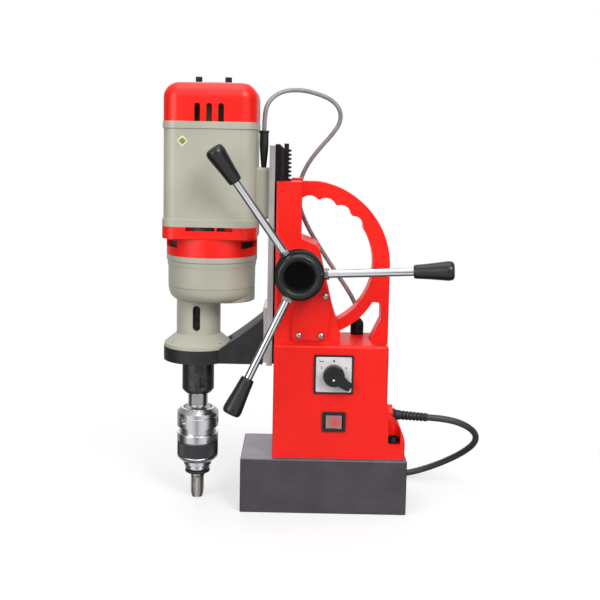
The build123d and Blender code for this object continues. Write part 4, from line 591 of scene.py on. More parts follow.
def wavy_grid(radius: np.ndarray, height: np.ndarray, origin: np.ndarray, axis: np.ndarray) -> np.ndarray:
    """Turns a radius that changes round the axis, such as a knurl or a fluted thread.

    Args:
        radius: Radius in metres for each height (rows) and angle (columns).
        height: Height in metres of each row.
        origin: Point of the axis that heights start from.
        axis: Unit vector.

    Returns:
        Grid of points, origin + h axis + r (cos t side + sin t other).
    """
    turn = np.arange(radius.shape[1]) / radius.shape[1] * FULL_TURN
    side, other = cross_frame(axis)
    ring = np.cos(turn)[:, None] * side + np.sin(turn)[:, None] * other
    return origin + height[:, None, None] * axis + radius[..., None] * ring[None]


def swept_grid(path: np.ndarray, radius: np.ndarray, sides: int) -> np.ndarray:
    """Carries a circle along a path without twist.

    Each station's side vector is the last one less its part along the new tangent, made a unit vector again, so
    the ring never spins about the path.

    Args:
        path: Points of the centre line, as rows.
        radius: Radius at each point.
        sides: Points round the circle.

    Returns:
        Grid of points, rows along the path.
    """
    tangent = np.gradient(path, axis=0)
    tangent /= np.linalg.norm(tangent, axis=1)[:, None]
    side = cross_frame(tangent[0])[0]
    frames = []
    for direction in tangent:
        side = side - direction * (side @ direction)
        side /= np.linalg.norm(side)
        frames.append((side, np.cross(direction, side)))
    turn = np.arange(sides) / sides * FULL_TURN
    sides_at, others_at = (np.array([pair[k] for pair in frames]) for k in (0, 1))
    ring = np.cos(turn)[None, :, None] * sides_at[:, None] + np.sin(turn)[None, :, None] * others_at[:, None]
    return path[:, None] + radius[:, None, None] * ring


def grid_quads(rows: int, columns: int) -> np.ndarray:
    """Lists the quads of a grid whose columns wrap round, numbered row by row."""
    row, column = np.meshgrid(np.arange(rows - 1), np.arange(columns), indexing="ij")
    after = (column + 1) % columns
    return np.stack([row * columns + column, row * columns + after, (row + 1) * columns + after,
                     (row + 1) * columns + column], axis=-1).reshape(-1, 4)


def build_piece(name: str, grids: list[np.ndarray], smooth_deg: float = 38.0) -> bpy.types.Object:
    """Makes one closed mesh of several grids; a row whose points coincide closes to a pole.

    Args:
        name: The piece's name.
        grids: Grids of points, rows by columns by three, with columns that wrap round.
        smooth_deg: Edges sharper than this stay sharp.

    Returns:
        The new object, at the origin.
    """
    points, quads, start = [], [], 0
    for grid in grids:
        rows, columns, _ = grid.shape
        points.append(grid.reshape(-1, 3))
        quads.append(grid_quads(rows, columns) + start)
        start += rows * columns
    mesh = bpy.data.meshes.new(name)
    mesh.from_pydata(np.vstack(points).tolist(), [], np.vstack(quads).tolist())
    tidy = bmesh.new()
    tidy.from_mesh(mesh)
    bmesh.ops.remove_doubles(tidy, verts=tidy.verts, dist=1e-6)
    bmesh.ops.recalc_face_normals(tidy, faces=tidy.faces)
    tidy.to_mesh(mesh)
    tidy.free()
    return place_mesh(name, mesh, smooth_deg)


def add_object(name: str, data: bpy.types.ID) -> bpy.types.Object:
    """Makes an object of some data and puts it into the scene at the origin."""
    made = bpy.data.objects.new(name, data)
    bpy.context.scene.collection.objects.link(made)
    return made


def fresh_tree(owner: bpy.types.Material | bpy.types.World) -> bpy.types.NodeTree:
    """Empties a new material's or world's node tree and gives it."""
    owner.use_nodes = True
    owner.node_tree.nodes.clear()
    return owner.node_tree


def levels(node: str) -> tuple[float, float]:
    """Gives the heights of a CAD node's foot and head in millimetres."""
    low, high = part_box(node)
    return low.z / MM, high.z / MM


def middle(node: str, height: float = 0.0) -> tuple[float, float, float]:
    """Gives the middle of a CAD node's box seen from above, at a height, in metres."""
    low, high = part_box(node)
    return (low.x + high.x) / 2, (low.y + high.y) / 2, height


def place_mesh(name: str, mesh: bpy.types.Mesh, smooth_deg: float) -> bpy.types.Object:
    """Smooths a mesh up to an angle and puts it into the scene at the origin."""
    mesh.shade_smooth()
    mesh.set_sharp_from_angle(angle=math.radians(smooth_deg))
    return add_object(name, mesh)


def box_grid(low: tuple[float, float, float], high: tuple[float, float, float]) -> np.ndarray:
    """Gives a block as a grid: a bottom pole, two square rings and a top pole."""
    (x0, y0, z0), (x1, y1, z1) = low, high
    square = np.array([[x0, y0], [x1, y0], [x1, y1], [x0, y1]])
    middle = np.tile(square.mean(0), (4, 1))
    rows = [np.column_stack([plan, np.full(4, z)]) for plan, z in
            ((middle, z0), (square, z0), (square, z1), (middle, z1))]
    return np.array(rows)


def settle(piece: bpy.types.Object, finish: Finishes, *nodes: str) -> bpy.types.Object:
    """Dresses a new piece and rides it on the body of its first CAD node.

    Args:
        piece: The new piece.
        finish: Its finish.
        nodes: The CAD nodes that it stands for or belongs to; the first one names its body.

    Returns:
        The piece.
    """
    piece.data.materials.clear()
    piece.data.materials.append(finish.value.material())
    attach(piece, BODY_OF[nodes[0]])
    return piece


def soften(piece: bpy.types.Object, width_mm: float) -> None:
    """Rounds a piece's edges by a Bevel, and keeps its flat faces flat in shade.

    Args:
        piece: The piece.
        width_mm: Width of the rounding.
    """
    bevel = piece.modifiers.new("rounded_edges", "BEVEL")
    bevel.width = width_mm * MM
    bevel.segments = 2
    bevel.limit_method = "ANGLE"
    bevel.angle_limit = math.radians(35.0)
    bevel.use_clamp_overlap = True
    even = piece.modifiers.new("even_shade", "WEIGHTED_NORMAL")
    even.mode = "FACE_AREA"
    even.weight = 90
    even.keep_sharp = True


def refined(node: str, finish: Finishes, width_mm: float) -> bpy.types.Object:
    """Stands a merged copy with rounded edges in place of a CAD node.

    The copy's loose triangles are merged, and flat neighbours are joined into whole faces, so that the Bevel runs
    along the real edges only.

    Args:
        node: The CAD node.
        finish: Its finish.
        width_mm: Width of the rounding; 0 leaves the edges sharp.

    Returns:
        The new piece.
    """
    mesh = frame["nodes"][node].data.copy()
    tidy = bmesh.new()
    tidy.from_mesh(mesh)
    bmesh.ops.remove_doubles(tidy, verts=tidy.verts, dist=2e-6)
    bmesh.ops.dissolve_degenerate(tidy, edges=tidy.edges, dist=2e-6)
    bmesh.ops.dissolve_limit(tidy, angle_limit=math.radians(0.4), verts=tidy.verts, edges=tidy.edges)
    tidy.to_mesh(mesh)
    tidy.free()
    mesh.name = node + "_refined"
    piece = place_mesh(node + "_refined", mesh, 30.0)
    if width_mm:
        soften(piece, width_mm)
    settle(piece, finish, node)
    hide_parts(node)
    return piece


def refine_all(rows: tuple[tuple[str, Finishes, float], ...]) -> None:
    """Refines each node in the rows, which give its name, finish and rounding in millimetres."""
    for node, finish, width_mm in rows:
        refined(node, finish, width_mm)


def turned_piece(name: str, corners: list[tuple[float, float, float]], origin: tuple[float, float, float],
                 axis: np.ndarray, finish: Finishes, *nodes: str, segments: int = 96) -> bpy.types.Object:
    """Builds a turned piece from its rounded profile and settles it.

    Args:
        name: The piece's name.
        corners: Radius, height and rounding of each corner in millimetres, bottom pole to top pole.
        origin: Point of the axis that heights start from, in metres.
        axis: Unit vector.
        finish: Its finish.
        nodes: CAD nodes, as settle() takes them.
        segments: Points round the turn.

    Returns:
        The new piece.
    """
    grid = turned_grid(rounded_profile(corners), np.array(origin), axis, segments)
    return settle(build_piece(name, [grid]), finish, *nodes)


# ----------------------------------------------------------------------------------- camera, light
@dataclass
class Studio:
    """A pale floor, soft lights and the camera.

    Attributes:
        eye: Camera place in metres.
        pitch_deg: How far the camera looks down.
        roll_deg: How far it leans anticlockwise.
        lens_mm: Focal length on a 36 mm sensor.
        rise: Vertical shift of the frame, as a share of its width.
        lamps: Name, place, side and power of each soft light.
    """

    eye: tuple[float, float, float] = (-0.0367, -1.2475, 0.4805)
    pitch_deg: float = 6.212
    roll_deg: float = 1.152
    lens_mm: float = 56.03
    rise: float = -50.0 / 600.0
    lamps: tuple = (("key_light", (0.9, -1.6, 1.7), 0.8, 23.0), ("fill_light", (-1.5, -1.6, 0.8), 1.2, 13.0),
                    ("top_light", (-0.1, -0.1, 2.1), 1.2, 9.5), ("back_light", (-0.6, 1.8, 1.4), 1.2, 7.0))

    def camera(self) -> None:
        """Places the camera: it looks along +Y, tipped down by the pitch and turned by the roll."""
        pitch, roll = math.radians(self.pitch_deg), math.radians(self.roll_deg)
        look = np.array([0.0, math.cos(pitch), -math.sin(pitch)])
        level, upright = RIGHT, np.array([0.0, math.sin(pitch), math.cos(pitch)])
        right = math.cos(roll) * level + math.sin(roll) * upright
        above = -math.sin(roll) * level + math.cos(roll) * upright
        lens = bpy.data.cameras.new("press_camera")
        lens.lens, lens.sensor_width, lens.shift_y = self.lens_mm, 36.0, self.rise
        lens.clip_start, lens.clip_end = 0.01, 60.0
        camera = add_object("press_camera", lens)
        columns = np.column_stack([right, above, -look])
        camera.matrix_world = Matrix.Translation(self.eye) @ Matrix(columns.tolist()).to_4x4()
        bpy.context.scene.camera = camera

    def floor(self) -> None:
        """Lays the pale floor that the magnet stands on."""
        grid = np.array([[[-9, -6, 0], [9, -6, 0]], [[-9, 12, 0], [9, 12, 0]]], float)
        mesh = bpy.data.meshes.new("studio_floor")
        mesh.from_pydata(grid.reshape(-1, 3).tolist(), [], [[0, 1, 3, 2]])
        floor = add_object("studio_floor", mesh)
        mesh.materials.append(self.paper())

    def paper(self) -> bpy.types.Material:
        """Makes the floor's white paper: lit softly near the machine and glowing white away from it.

        Returns:
            The material, which metal sees through, so that it mirrors the room alone.
        """
        paper = bpy.data.materials.new("white_paper_sweep")
        tree = fresh_tree(paper)
        place = add_node(tree, "TexCoord").outputs["Object"]
        on = Canvas(tree, place)
        away = on.combine("DISTANCE", place, (0.0, 0.0, 0.0), "VectorMath").outputs["Value"]
        glow = on.spread(away, (0.18, 0.55), (0.55, 1.0), "SMOOTHSTEP")
        matt = add_node(tree, "BsdfDiffuse", {"Color": linear("#FAFAFA")})
        white = add_node(tree, "Emission", {"Color": (1.0, 1.0, 1.0, 1.0), "Strength": 1.0})
        seen = add_node(tree, "MixShader", {0: glow, 1: matt.outputs[0], 2: white.outputs[0]})
        grey = add_node(tree, "BsdfDiffuse", {"Color": linear("#909090")})
        ray = add_node(tree, "LightPath")
        clear = add_node(tree, "BsdfTransparent")
        mirrored = add_node(tree, "MixShader",
                            {0: ray.outputs["Is Glossy Ray"], 1: grey.outputs[0], 2: clear.outputs[0]})
        both = add_node(tree, "MixShader",
                        {0: ray.outputs["Is Camera Ray"], 1: mirrored.outputs[0], 2: seen.outputs[0]})
        add_node(tree, "OutputMaterial", {0: both.outputs[0]})
        return paper

    def soft_light(self, name: str, place: tuple[float, float, float], size: float, power: float) -> None:
        """Hangs one square soft light that faces the machine.

        Args:
            name: The light's name.
            place: Its middle in metres.
            size: Its side in metres.
            power: Its power in watts.
        """
        lamp = bpy.data.lights.new(name, "AREA")
        lamp.shape, lamp.size, lamp.energy = "SQUARE", size, power
        light = add_object(name, lamp)
        aim = Vector((-0.04, 0.0, 0.26)) - Vector(place)
        light.matrix_world = Matrix.Translation(place) @ aim.to_track_quat("-Z", "Y").to_matrix().to_4x4()

    def surroundings(self) -> None:
        """Lights the room so that metal has contrast, while camera rays see plain white.

        Brightness follows a ramp of the direction's Y part, plus a lift with its Z part: dark straight in front
        of the machine, bright in a wide ring about that, dark to the sides and half bright behind.
        """
        world = bpy.data.worlds.new("studio_room")
        bpy.context.scene.world = world
        tree = fresh_tree(world)
        way = add_node(tree, "TexCoord").outputs["Generated"]
        on = Canvas(tree, way)
        parts = add_node(tree, "SeparateXYZ", {0: way})
        ramp = add_node(tree, "ValToRGB", {0: on.spread(parts.outputs[1], (-1.0, 1.0))})
        stops = ((0.0, 0.06), (0.012, 0.1), (0.035, 1.0), (0.22, 1.15), (0.3, 0.4), (0.42, 0.06), (0.62, 0.04),
                 (0.8, 0.4), (1.0, 0.8))
        ramp.color_ramp.elements[0].position, ramp.color_ramp.elements[1].position = stops[0][0], stops[-1][0]
        for position, _ in stops[1:-1]:
            ramp.color_ramp.elements.new(position)
        for element, (_, value) in zip(ramp.color_ramp.elements, stops):
            element.color = (value, value, value, 1.0)
        lift = on.spread(parts.outputs[2], (0.25, 0.95), (0.0, 0.6), "SMOOTHSTEP")
        bright = on.combine("ADD", ramp.outputs[0], lift)
        room = add_node(tree, "Background", {"Strength": bright.outputs[0]})
        paper = add_node(tree, "Background", {"Color": (1.0, 1.0, 1.0, 1.0), "Strength": 1.0})
        seen = add_node(tree, "LightPath")
        both = add_node(tree, "MixShader",
                        {0: seen.outputs["Is Camera Ray"], 1: room.outputs[0], 2: paper.outputs[0]})
        add_node(tree, "OutputWorld", {0: both.outputs[0]})

    def build(self) -> None:
        """Sets up the camera, floor, lights and room."""
        self.camera()
        self.floor()
        self.surroundings()
        for lamp in self.lamps:
            self.soft_light(*lamp)
        bpy.context.scene.view_settings.view_transform = "Standard"


# ------------------------------------------------------------------------------------------- cords
@dataclass
class MainsCord:
    """The mains cord: out of its boot, down behind the base, and wound in a neat coil with its plug.

    Attributes:
        diameter_mm: Thickness of the sheath.
        exit_mm: Where it leaves the column's cable boss.
        route_mm: Its way to the coil.
        coil_mm: Middle of the coil, at the height of its lowest turns.
        coil_radius_mm: Radius at the middle of the turns.
        turns: How many turns the coil has.
        tail_mm: Its way from the coil into the plug.
    """

    diameter_mm: float = 9.0
    exit_mm: tuple[float, float, float] = (93.5, 0.0, 121.0)
    route_mm: tuple = ((142.4, 0.0, 117.6), (164.0, 0.0, 116.1), (185.5, 3.0, 111.0), (205.0, 12.5, 99.5),
                       (216.5, 29.5, 84.0), (218.0, 50.5, 66.0), (208.0, 69.5, 48.0), (189.0, 82.5, 31.5),
                       (165.0, 89.5, 18.0), (139.5, 90.5, 9.0), (114.0, 87.5, 5.2), (89.5, 83.0, 4.9),
                       (65.0, 79.0, 4.9), (42.0, 75.5, 4.9))
    coil_mm: tuple[float, float, float] = (20.0, 124.0, 4.9)
    coil_radius_mm: float = 49.0
    turns: int = 8
    tail_mm: tuple = ((4.0, 170.5, 15.5), (-8.0, 172.5, 12.5), (-20.0, 173.0, 11.0))

    def coil(self) -> np.ndarray:
        """Works out the coil's points, sixteen to a turn.

        Turn n lies at the listed ring and layer, three of each, and eases to the next ones at its end by
        3e^2 - 2e^3. The angle goes clockwise from the front.

        Returns:
            Points in millimetres, as rows.
        """
        per_turn = 16
        step = np.arange(1, self.turns * per_turn + per_turn // 2 - 1)
        turn = step / per_turn
        number = np.floor(turn).astype(int)
        held, changing = 0.72, 0.28
        ease = np.clip((turn - number - held) / changing, 0.0, 1.0)
        ease = ease * ease * (3 - 2 * ease)
        gap, sag = 0.35, 0.6
        spacing = self.diameter_mm + gap
        order = np.array([1, 2, 1, 0, 0, 1, 2, 1, 0, 0])
        layer = np.array([0, 0, 1, 0, 1, 2, 1, 2, 2, 2])
        ring, level = (row[number] + (row[number + 1] - row[number]) * ease for row in (order, layer))
        radius = self.coil_radius_mm + (ring - 1) * spacing
        angle = -math.pi / 2 - turn * FULL_TURN
        x, y, z = self.coil_mm
        return np.column_stack([x + radius * np.cos(angle), y + radius * np.sin(angle),
                                z + level * (spacing - sag)])

    def build(self) -> None:
        points = np.vstack([[self.exit_mm], self.route_mm, self.coil(), self.tail_mm]) * MM
        cord = spline_cord("mains_cord_line", points, self.diameter_mm * MM / 2)
        settle(cord, Finishes.CORD_SHEATH, "mains_cord")
        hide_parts("mains_cord", "cord_coil")
        boot = self.boot()
        plug = refined("mains_plug", Finishes.RUBBER, 1.2)
        pins = refined("plug_pins", Finishes.ZINC, 0.5)
        length = spline_length(cord)
        LOG.info("mains cord: %.2f m", length)

    def boot(self) -> bpy.types.Object:
        """Turns the tapered strain relief, with a collar and relief grooves down its length.

        Returns:
            The boot.
        """
        start = np.array(self.exit_mm) * MM
        tip = np.array(self.route_mm[0]) * MM
        axis = (tip - start) / np.linalg.norm(tip - start)
        grooves, count, lowest, apart, length, depth = [], 7, 12.0, 5.0, 49.0, 0.9
        for index in range(count):
            height = lowest + apart * index
            radius = 6.6 - 1.0 * (height / length)
            grooves += [(radius, height, 0.3), (radius - depth, height + 0.7, 0.3),
                        (radius - depth, height + 1.6, 0.3), (radius, height + 2.3, 0.3)]
        corners = [(0, 0.05, 0), (8.5, 0.05, 0.2), (8.5, 2.6, 0.8), (6.9, 4.4, 1.0), *grooves,
                   (5.5, 48.6, 0.8), (0, 48.9, 0)]
        boot = turned_piece("cord_boot_grooved", corners, tuple(start), axis, Finishes.RUBBER, "cord_boot",
                            segments=48)
        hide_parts("cord_boot")
        return boot


@dataclass
class MotorLead:
    """The pale lead that loops from the motor's boot, over and down behind the column, into the gland.

    Attributes:
        diameter_mm: Thickness of the sheath.
        route_mm: Its way, motor end first.
    """

    diameter_mm: float = 6.0
    route_mm: tuple = ((-86.6, -14.0, 503.0), (-86.6, -13.4, 521.0), (-83.5, -10.0, 538.0), (-72.0, -4.0, 551.0),
                       (-55.5, 4.0, 557.0), (-36.0, 12.0, 557.5), (-16.0, 19.0, 553.5), (3.0, 25.0, 546.0),
                       (14.5, 30.0, 533.0), (15.0, 35.0, 516.5), (4.5, 39.5, 500.5), (-10.0, 44.0, 484.0),
                       (-24.5, 49.0, 465.5), (-36.0, 52.5, 444.0), (-41.0, 53.5, 420.5), (-38.0, 53.5, 397.0),
                       (-28.5, 53.5, 375.0), (-15.5, 53.0, 353.0), (-1.5, 52.0, 331.5), (13.0, 49.5, 310.5),
                       (27.0, 45.0, 291.5), (38.0, 40.0, 274.5), (44.8, 36.6, 259.0), (44.8, 36.0, 247.0))

    def build(self) -> None:
        """Sweeps the lead as a mesh tube from the motor's boot to the gland."""
        points = np.array(self.route_mm) * MM
        line = spline_cord("motor_lead_line", points, 0.0)
        path = read_spline(line)
        bpy.data.objects.remove(line)
        sides = 20
        tube = swept_grid(path, np.full(len(path), self.diameter_mm * MM / 2), sides)
        near, far = (np.repeat(end[:, None], sides, axis=1) for end in (path[:1], path[-1:]))
        grid = np.concatenate([near, tube, far], axis=0)
        lead = build_piece("motor_lead_sheath", [grid])
        lead.data.materials.append(Finishes.LEAD_SHEATH.value.material())
        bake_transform(lead)
        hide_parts("motor_lead")
        length = float(np.linalg.norm(np.diff(path, axis=0), axis=1).sum())
        LOG.info("motor lead: %.3f m", length)


def spline_cord(name: str, points: np.ndarray, radius: float) -> bpy.types.Object:
    """Makes a curve of one open NURBS spline whose control points are the route's points.

    Args:
        name: The curve's name.
        points: Control points in metres, as rows.
        radius: Thickness of the cord, or 0 for a bare line.

    Returns:
        The curve object.
    """
    curve = bpy.data.curves.new(name, "CURVE")
    curve.dimensions = "3D"
    spline = curve.splines.new("NURBS")
    spline.points.add(len(points) - 1)
    spline.points.foreach_set("co", np.column_stack([points, np.ones(len(points))]).ravel())
    spline.order_u = 3
    spline.use_endpoint_u = True
    spline.resolution_u = 8
    curve.bevel_depth = radius
    curve.bevel_resolution = 5
    curve.use_fill_caps = True
    return add_object(name, curve)


def read_spline(line: bpy.types.Object) -> np.ndarray:
    """Reads the points of a curve with no bevel, as Blender works out its spline.

    Args:
        line: The curve.

    Returns:
        Its points in metres, as rows.
    """
    bpy.context.view_layer.update()
    graph = bpy.context.evaluated_depsgraph_get()
    mesh = bpy.data.meshes.new_from_object(line.evaluated_get(graph))
    found = np.zeros(len(mesh.vertices) * 3)
    mesh.vertices.foreach_get("co", found)
    bpy.data.meshes.remove(mesh)
    return found.reshape(-1, 3)


def spline_length(cord: bpy.types.Object) -> float:
    """Gives the length of a cord's one spline in metres."""
    return float(cord.data.splines[0].calc_length())


# ------------------------------------------------------------------------------------ capstan feed
@dataclass
class FeedCapstan:
    """The feed's hub, its cap and its three levers with grips.

    Attributes:
        levers: How many levers stand round the hub.
        first_deg: Angle of the first lever above +X.
        cone_deg: How far the levers lean towards the operator.
        root_y_mm: Where the levers' lines meet the axis.
        grip_mm: Where the grips start and end along the lever.
    """

    levers: int = 3
    first_deg: float = 4.3
    cone_deg: float = 12.5
    root_y_mm: float = -68.0
    grip_mm: tuple[float, float] = (146.0, 196.0)

    def lines(self) -> list[tuple[np.ndarray, np.ndarray]]:
        """Works out the levers' lines.

        The direction at angle a and cone c is (cos c cos a, -sin c, cos c sin a).

        Returns:
            Each lever's start on the axis and its unit direction.
        """
        origin = np.array([FEED_AXIS[0], self.root_y_mm * MM, FEED_AXIS[2]])
        cone = math.radians(self.cone_deg)
        angles = [math.radians(self.first_deg + 360.0 / self.levers * index) for index in range(self.levers)]
        return [(origin, np.array([math.cos(cone) * math.cos(a), -math.sin(cone), math.cos(cone) * math.sin(a)]))
                for a in angles]

    def rods(self) -> None:
        """Turns the chrome rods, each with a lock nut's shoulder at the hub."""
        profile = rounded_profile([(0, 18, 0), (5.55, 18, 0.3), (5.55, 34, 0.6), (5.2, 36, 0.6), (5.2, 150, 0.3),
                                   (0, 150, 0)])
        collar = rounded_profile([(5.2, 33.0, 0), (7.6, 33.0, 0.6), (7.6, 38.5, 0.6), (5.2, 38.5, 0)])
        grids = [turned_grid(profile, origin, way, 40) for origin, way in self.lines()]
        piece = settle(build_piece("lever_rods_chromed", grids), Finishes.CHROME, "lever_rods")
        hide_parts("lever_rods")
        nuts = [turned_grid(np.vstack([collar, collar[:1]]), origin, way, 6) for origin, way in self.lines()]
        nut = settle(build_piece("lever_lock_nuts", nuts, 20.0), Finishes.HUB_STEEL, "feed_hub")
        soften(nut, 0.35)

    def grips(self) -> None:
        """Turns the tapered grips, thicker at the far end, with a mould line's step at each end."""
        near, far = self.grip_mm
        profile = rounded_profile([(5.25, near + 4, 0), (5.25, near, 0.2), (8.3, near, 1.2), (8.8, near + 3, 1.5),
                                   (9.6, near + 16, 12), (11.9, far - 11, 9), (12.3, far - 6, 4),
                                   (10.6, far - 0.6, 3.2), (4.5, far, 3.0), (0, far, 0)], 7)
        grids = [turned_grid(profile, origin, way, 64) for origin, way in self.lines()]
        piece = settle(build_piece("lever_grips_pressed", grids), Finishes.PHENOLIC, "lever_grips")
        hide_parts("lever_grips")

    def cap(self) -> None:
        """Turns the black cap: a rolled rim round a plain, very slightly domed gloss disc."""
        low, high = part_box("hub_cap")
        back, front = high.y, low.y
        depth = (back - front) / MM
        origin = (FEED_AXIS[0], back, FEED_AXIS[2])
        rim = [(0, 0, 0), (28.2, 0, 0.8), (29.0, 1.5, 1.0), (29.0, depth - 3.5, 3.0), (26.2, depth, 2.6),
               (22.4, depth, 1.6), (21.0, depth - 1.7, 0.6), (0, depth - 1.7, 0)]
        cap = turned_piece("hub_cap_rim", rim, origin, -BACKWARDS, Finishes.PHENOLIC, "hub_cap", segments=128)
        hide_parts("hub_cap")
        disc = [(0, depth - 1.9, 0), (20.6, depth - 1.9, 0.1), (20.6, depth - 1.1, 0.5), (14.0, depth - 0.75, 6),
                (0, depth - 0.6, 0)]
        turned_piece("hub_cap_disc", disc, origin, -BACKWARDS, Finishes.GLOSS_CAP, "hub_cap", segments=128)

    def build(self) -> None:
        """Builds the whole capstan."""
        refine_all((("feed_hub", Finishes.BLACK_OXIDE, 0.6), ("feed_shaft", Finishes.FEED_STEEL, 0.15)))
        self.rods()
        self.grips()
        self.cap()


# ------------------------------------------------------------------------------- chuck and spindle
@dataclass
class ChuckAndTap:
    """The spindle nose, the quick-change tapping chuck and the tap.

    Attributes:
        thread_pitch_mm: Lead of the tap's thread.
        thread_depth_mm: Depth of its grooves.
        flutes: Number of flutes.
        knurl_count: Number of knurl ridges round the sleeve.
    """

    thread_pitch_mm: float = 2.5
    thread_depth_mm: float = 1.3
    flutes: int = 4
    knurl_count: int = 120

    def sleeve(self) -> None:
        """Builds the sleeve: a bright collar, a finely ridged dark grip band and a bright bevelled foot."""
        bottom, top = levels("quick_change_sleeve")
        origin = np.array(SPINDLE_CENTRE)
        socket, bore, shoulder, rim, groove = 24.9, 19.08, bottom + 18, 28.0, 27.2
        band_foot, band_head = bottom + 6.3, top - 10.8
        inside = [(socket, top, 0), (socket, shoulder, 0), (bore, shoulder, 0), (bore, bottom, 0)]
        foot = [(bore, bottom, 0), (22.6, bottom, 0.8), (27.6, bottom + 4.9, 1.0), (rim, band_foot, 0.4)]
        band = [(rim, band_foot, 0), (groove, bottom + 7.1, 0.3), (groove, top - 11.6, 0.3), (rim, band_head, 0.3)]
        collar = [(rim, band_head, 0), (rim, top - 1.0, 0.8), (groove, top, 0.5), (socket, top, 0)]
        rings = [turned_grid(rounded_profile(part), origin, UP, 128) for part in (inside, foot, band, collar)]
        shell = settle(build_piece("quick_change_sleeve_shell", rings), Finishes.CHUCK, "quick_change_sleeve")
        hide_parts("quick_change_sleeve")
        height = np.linspace(bottom + 7.4, top - 11.9, 40)
        turn = np.arange(self.knurl_count * 6) / (self.knurl_count * 6) * FULL_TURN
        fade = np.clip(np.minimum(height - height[0], height[-1] - height) / 1.2, 0.0, 1.0)[:, None]
        ridge = 0.5 + 0.5 * np.cos(turn * self.knurl_count)[None]
        valley, ridge_depth, lip = 27.25, 0.45, 0.97
        outer = wavy_grid((valley + ridge_depth * fade * ridge) * MM, height * MM, origin, UP)
        foot_ring, head_ring = (end.mean(1, keepdims=True) + (end - end.mean(1, keepdims=True)) * lip
                                for end in (outer[:1], outer[-1:]))
        grid = np.concatenate([foot_ring, outer, head_ring, foot_ring], axis=0)
        settle(build_piece("sleeve_grip_band", [grid], 50.0), Finishes.CHUCK_DARK, "quick_change_sleeve")

    def tap(self) -> None:
        """Builds the tap as a radius that depends on angle and height.

        The thread's ridge is the pitch radius plus a triangle wave of (height / pitch - angle / turn); the lead
        end tapers; and each flute takes the radius down to a circular cut.
        """
        bottom, top = levels("tap")
        seal_low, _ = levels("adapter_seal")
        rows, columns, crest_radius, tip_radius, neck_radius = 230, 192, 9.7, 7.2, 9.0
        height = np.linspace(bottom, seal_low, rows)
        turn = np.arange(columns) / columns * FULL_TURN
        phase = height[:, None] / self.thread_pitch_mm - turn[None] / FULL_TURN
        saw = np.abs((phase % 1.0) * 2.0 - 1.0)
        crest = np.clip(saw * 1.5 - 0.25, 0.0, 1.0)
        full = crest_radius - self.thread_depth_mm * (1.0 - crest)
        lead = np.clip((height - bottom) / 9.0, 0.0, 1.0)[:, None]
        limit = tip_radius + (crest_radius - tip_radius) * lead
        shank = np.clip((height - (seal_low - 4.0)) / 1.0, 0.0, 1.0)[:, None]
        body = np.minimum(full, limit) * (1 - shank) + neck_radius * shank
        local = (turn * self.flutes / FULL_TURN + 0.5) % 1.0 - 0.5
        offset = local / self.flutes * FULL_TURN
        reach, cutter = 10.6, 3.9
        inside = np.maximum(cutter ** 2 - (reach * np.sin(offset)) ** 2, 0.0)
        cut = reach * np.cos(offset) - np.sqrt(inside)
        flute = np.where(inside > 0.0, cut, np.inf)[None]
        runout = np.clip((height - (seal_low - 7.0)) / 5.0, 0.0, 1.0)[:, None]
        radius = np.minimum(body, flute + runout * 6.0)
        origin = np.array(SPINDLE_CENTRE)
        grid = wavy_grid(radius * MM, height * MM, origin, UP)
        foot, head = (np.repeat(np.array([[[SPINDLE_X, 0.0, z * MM]]]), columns, axis=1)
                      for z in (bottom, seal_low))
        shank_grid = turned_grid(rounded_profile([
            (0, seal_low - 1, 0), (8.95, seal_low - 1, 0), (8.95, top - 28, 0.3), (6.15, top - 28, 0.3),
            (6.15, top - 0.5, 0.5), (0, top - 0.5, 0)]), origin, UP, 64)
        piece = build_piece("tap_threaded", [np.concatenate([foot, grid, head]), shank_grid], 32.0)
        settle(piece, Finishes.TAP_STEEL, "tap")
        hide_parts("tap")

    def adapter(self) -> None:
        """Turns the adapter's nose with its groove, and the black ring under it."""
        bottom, top = levels("tap_adapter")
        corners = [(6.2, bottom + 3, 0), (6.2, bottom, 0.2), (15.0, bottom, 0.8), (17.1, bottom + 2.6, 0.8),
                   (17.1, bottom + 4.6, 0.4), (16.0, bottom + 5.4, 0.4), (16.0, bottom + 6.6, 0.3),
                   (16.9, bottom + 7.2, 0.3), (15.8, bottom + 8, 0.3), (12.0, bottom + 8, 0.3), (12.0, top, 0.4),
                   (0, top, 0)]
        nose = turned_piece("tap_adapter_nose", corners, SPINDLE_CENTRE, UP, Finishes.CHUCK, "tap_adapter")
        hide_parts("tap_adapter")
        foot, head = levels("adapter_seal")
        ring = [(9.05, foot, 0), (14.5, foot, 1.5), (17.0, foot + 1.4, 1.0), (17.0, head - 1.0, 0.8),
                (16.0, head - 0.02, 0.4), (9.05, head - 0.02, 0), (9.05, foot, 0)]
        seal = turned_piece("adapter_seal_moulded", ring, SPINDLE_CENTRE, UP, Finishes.RUBBER, "adapter_seal")
        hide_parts("adapter_seal")

    def build(self) -> None:
        """Builds the spindle, chuck and tap."""
        refine_all((("spindle", Finishes.SPINDLE_BLACK, 0.35), ("chuck_body", Finishes.CHUCK, 0.25),
                    ("clutch_ring", Finishes.CHUCK, 0.3)))
        self.sleeve()
        self.adapter()
        self.tap()


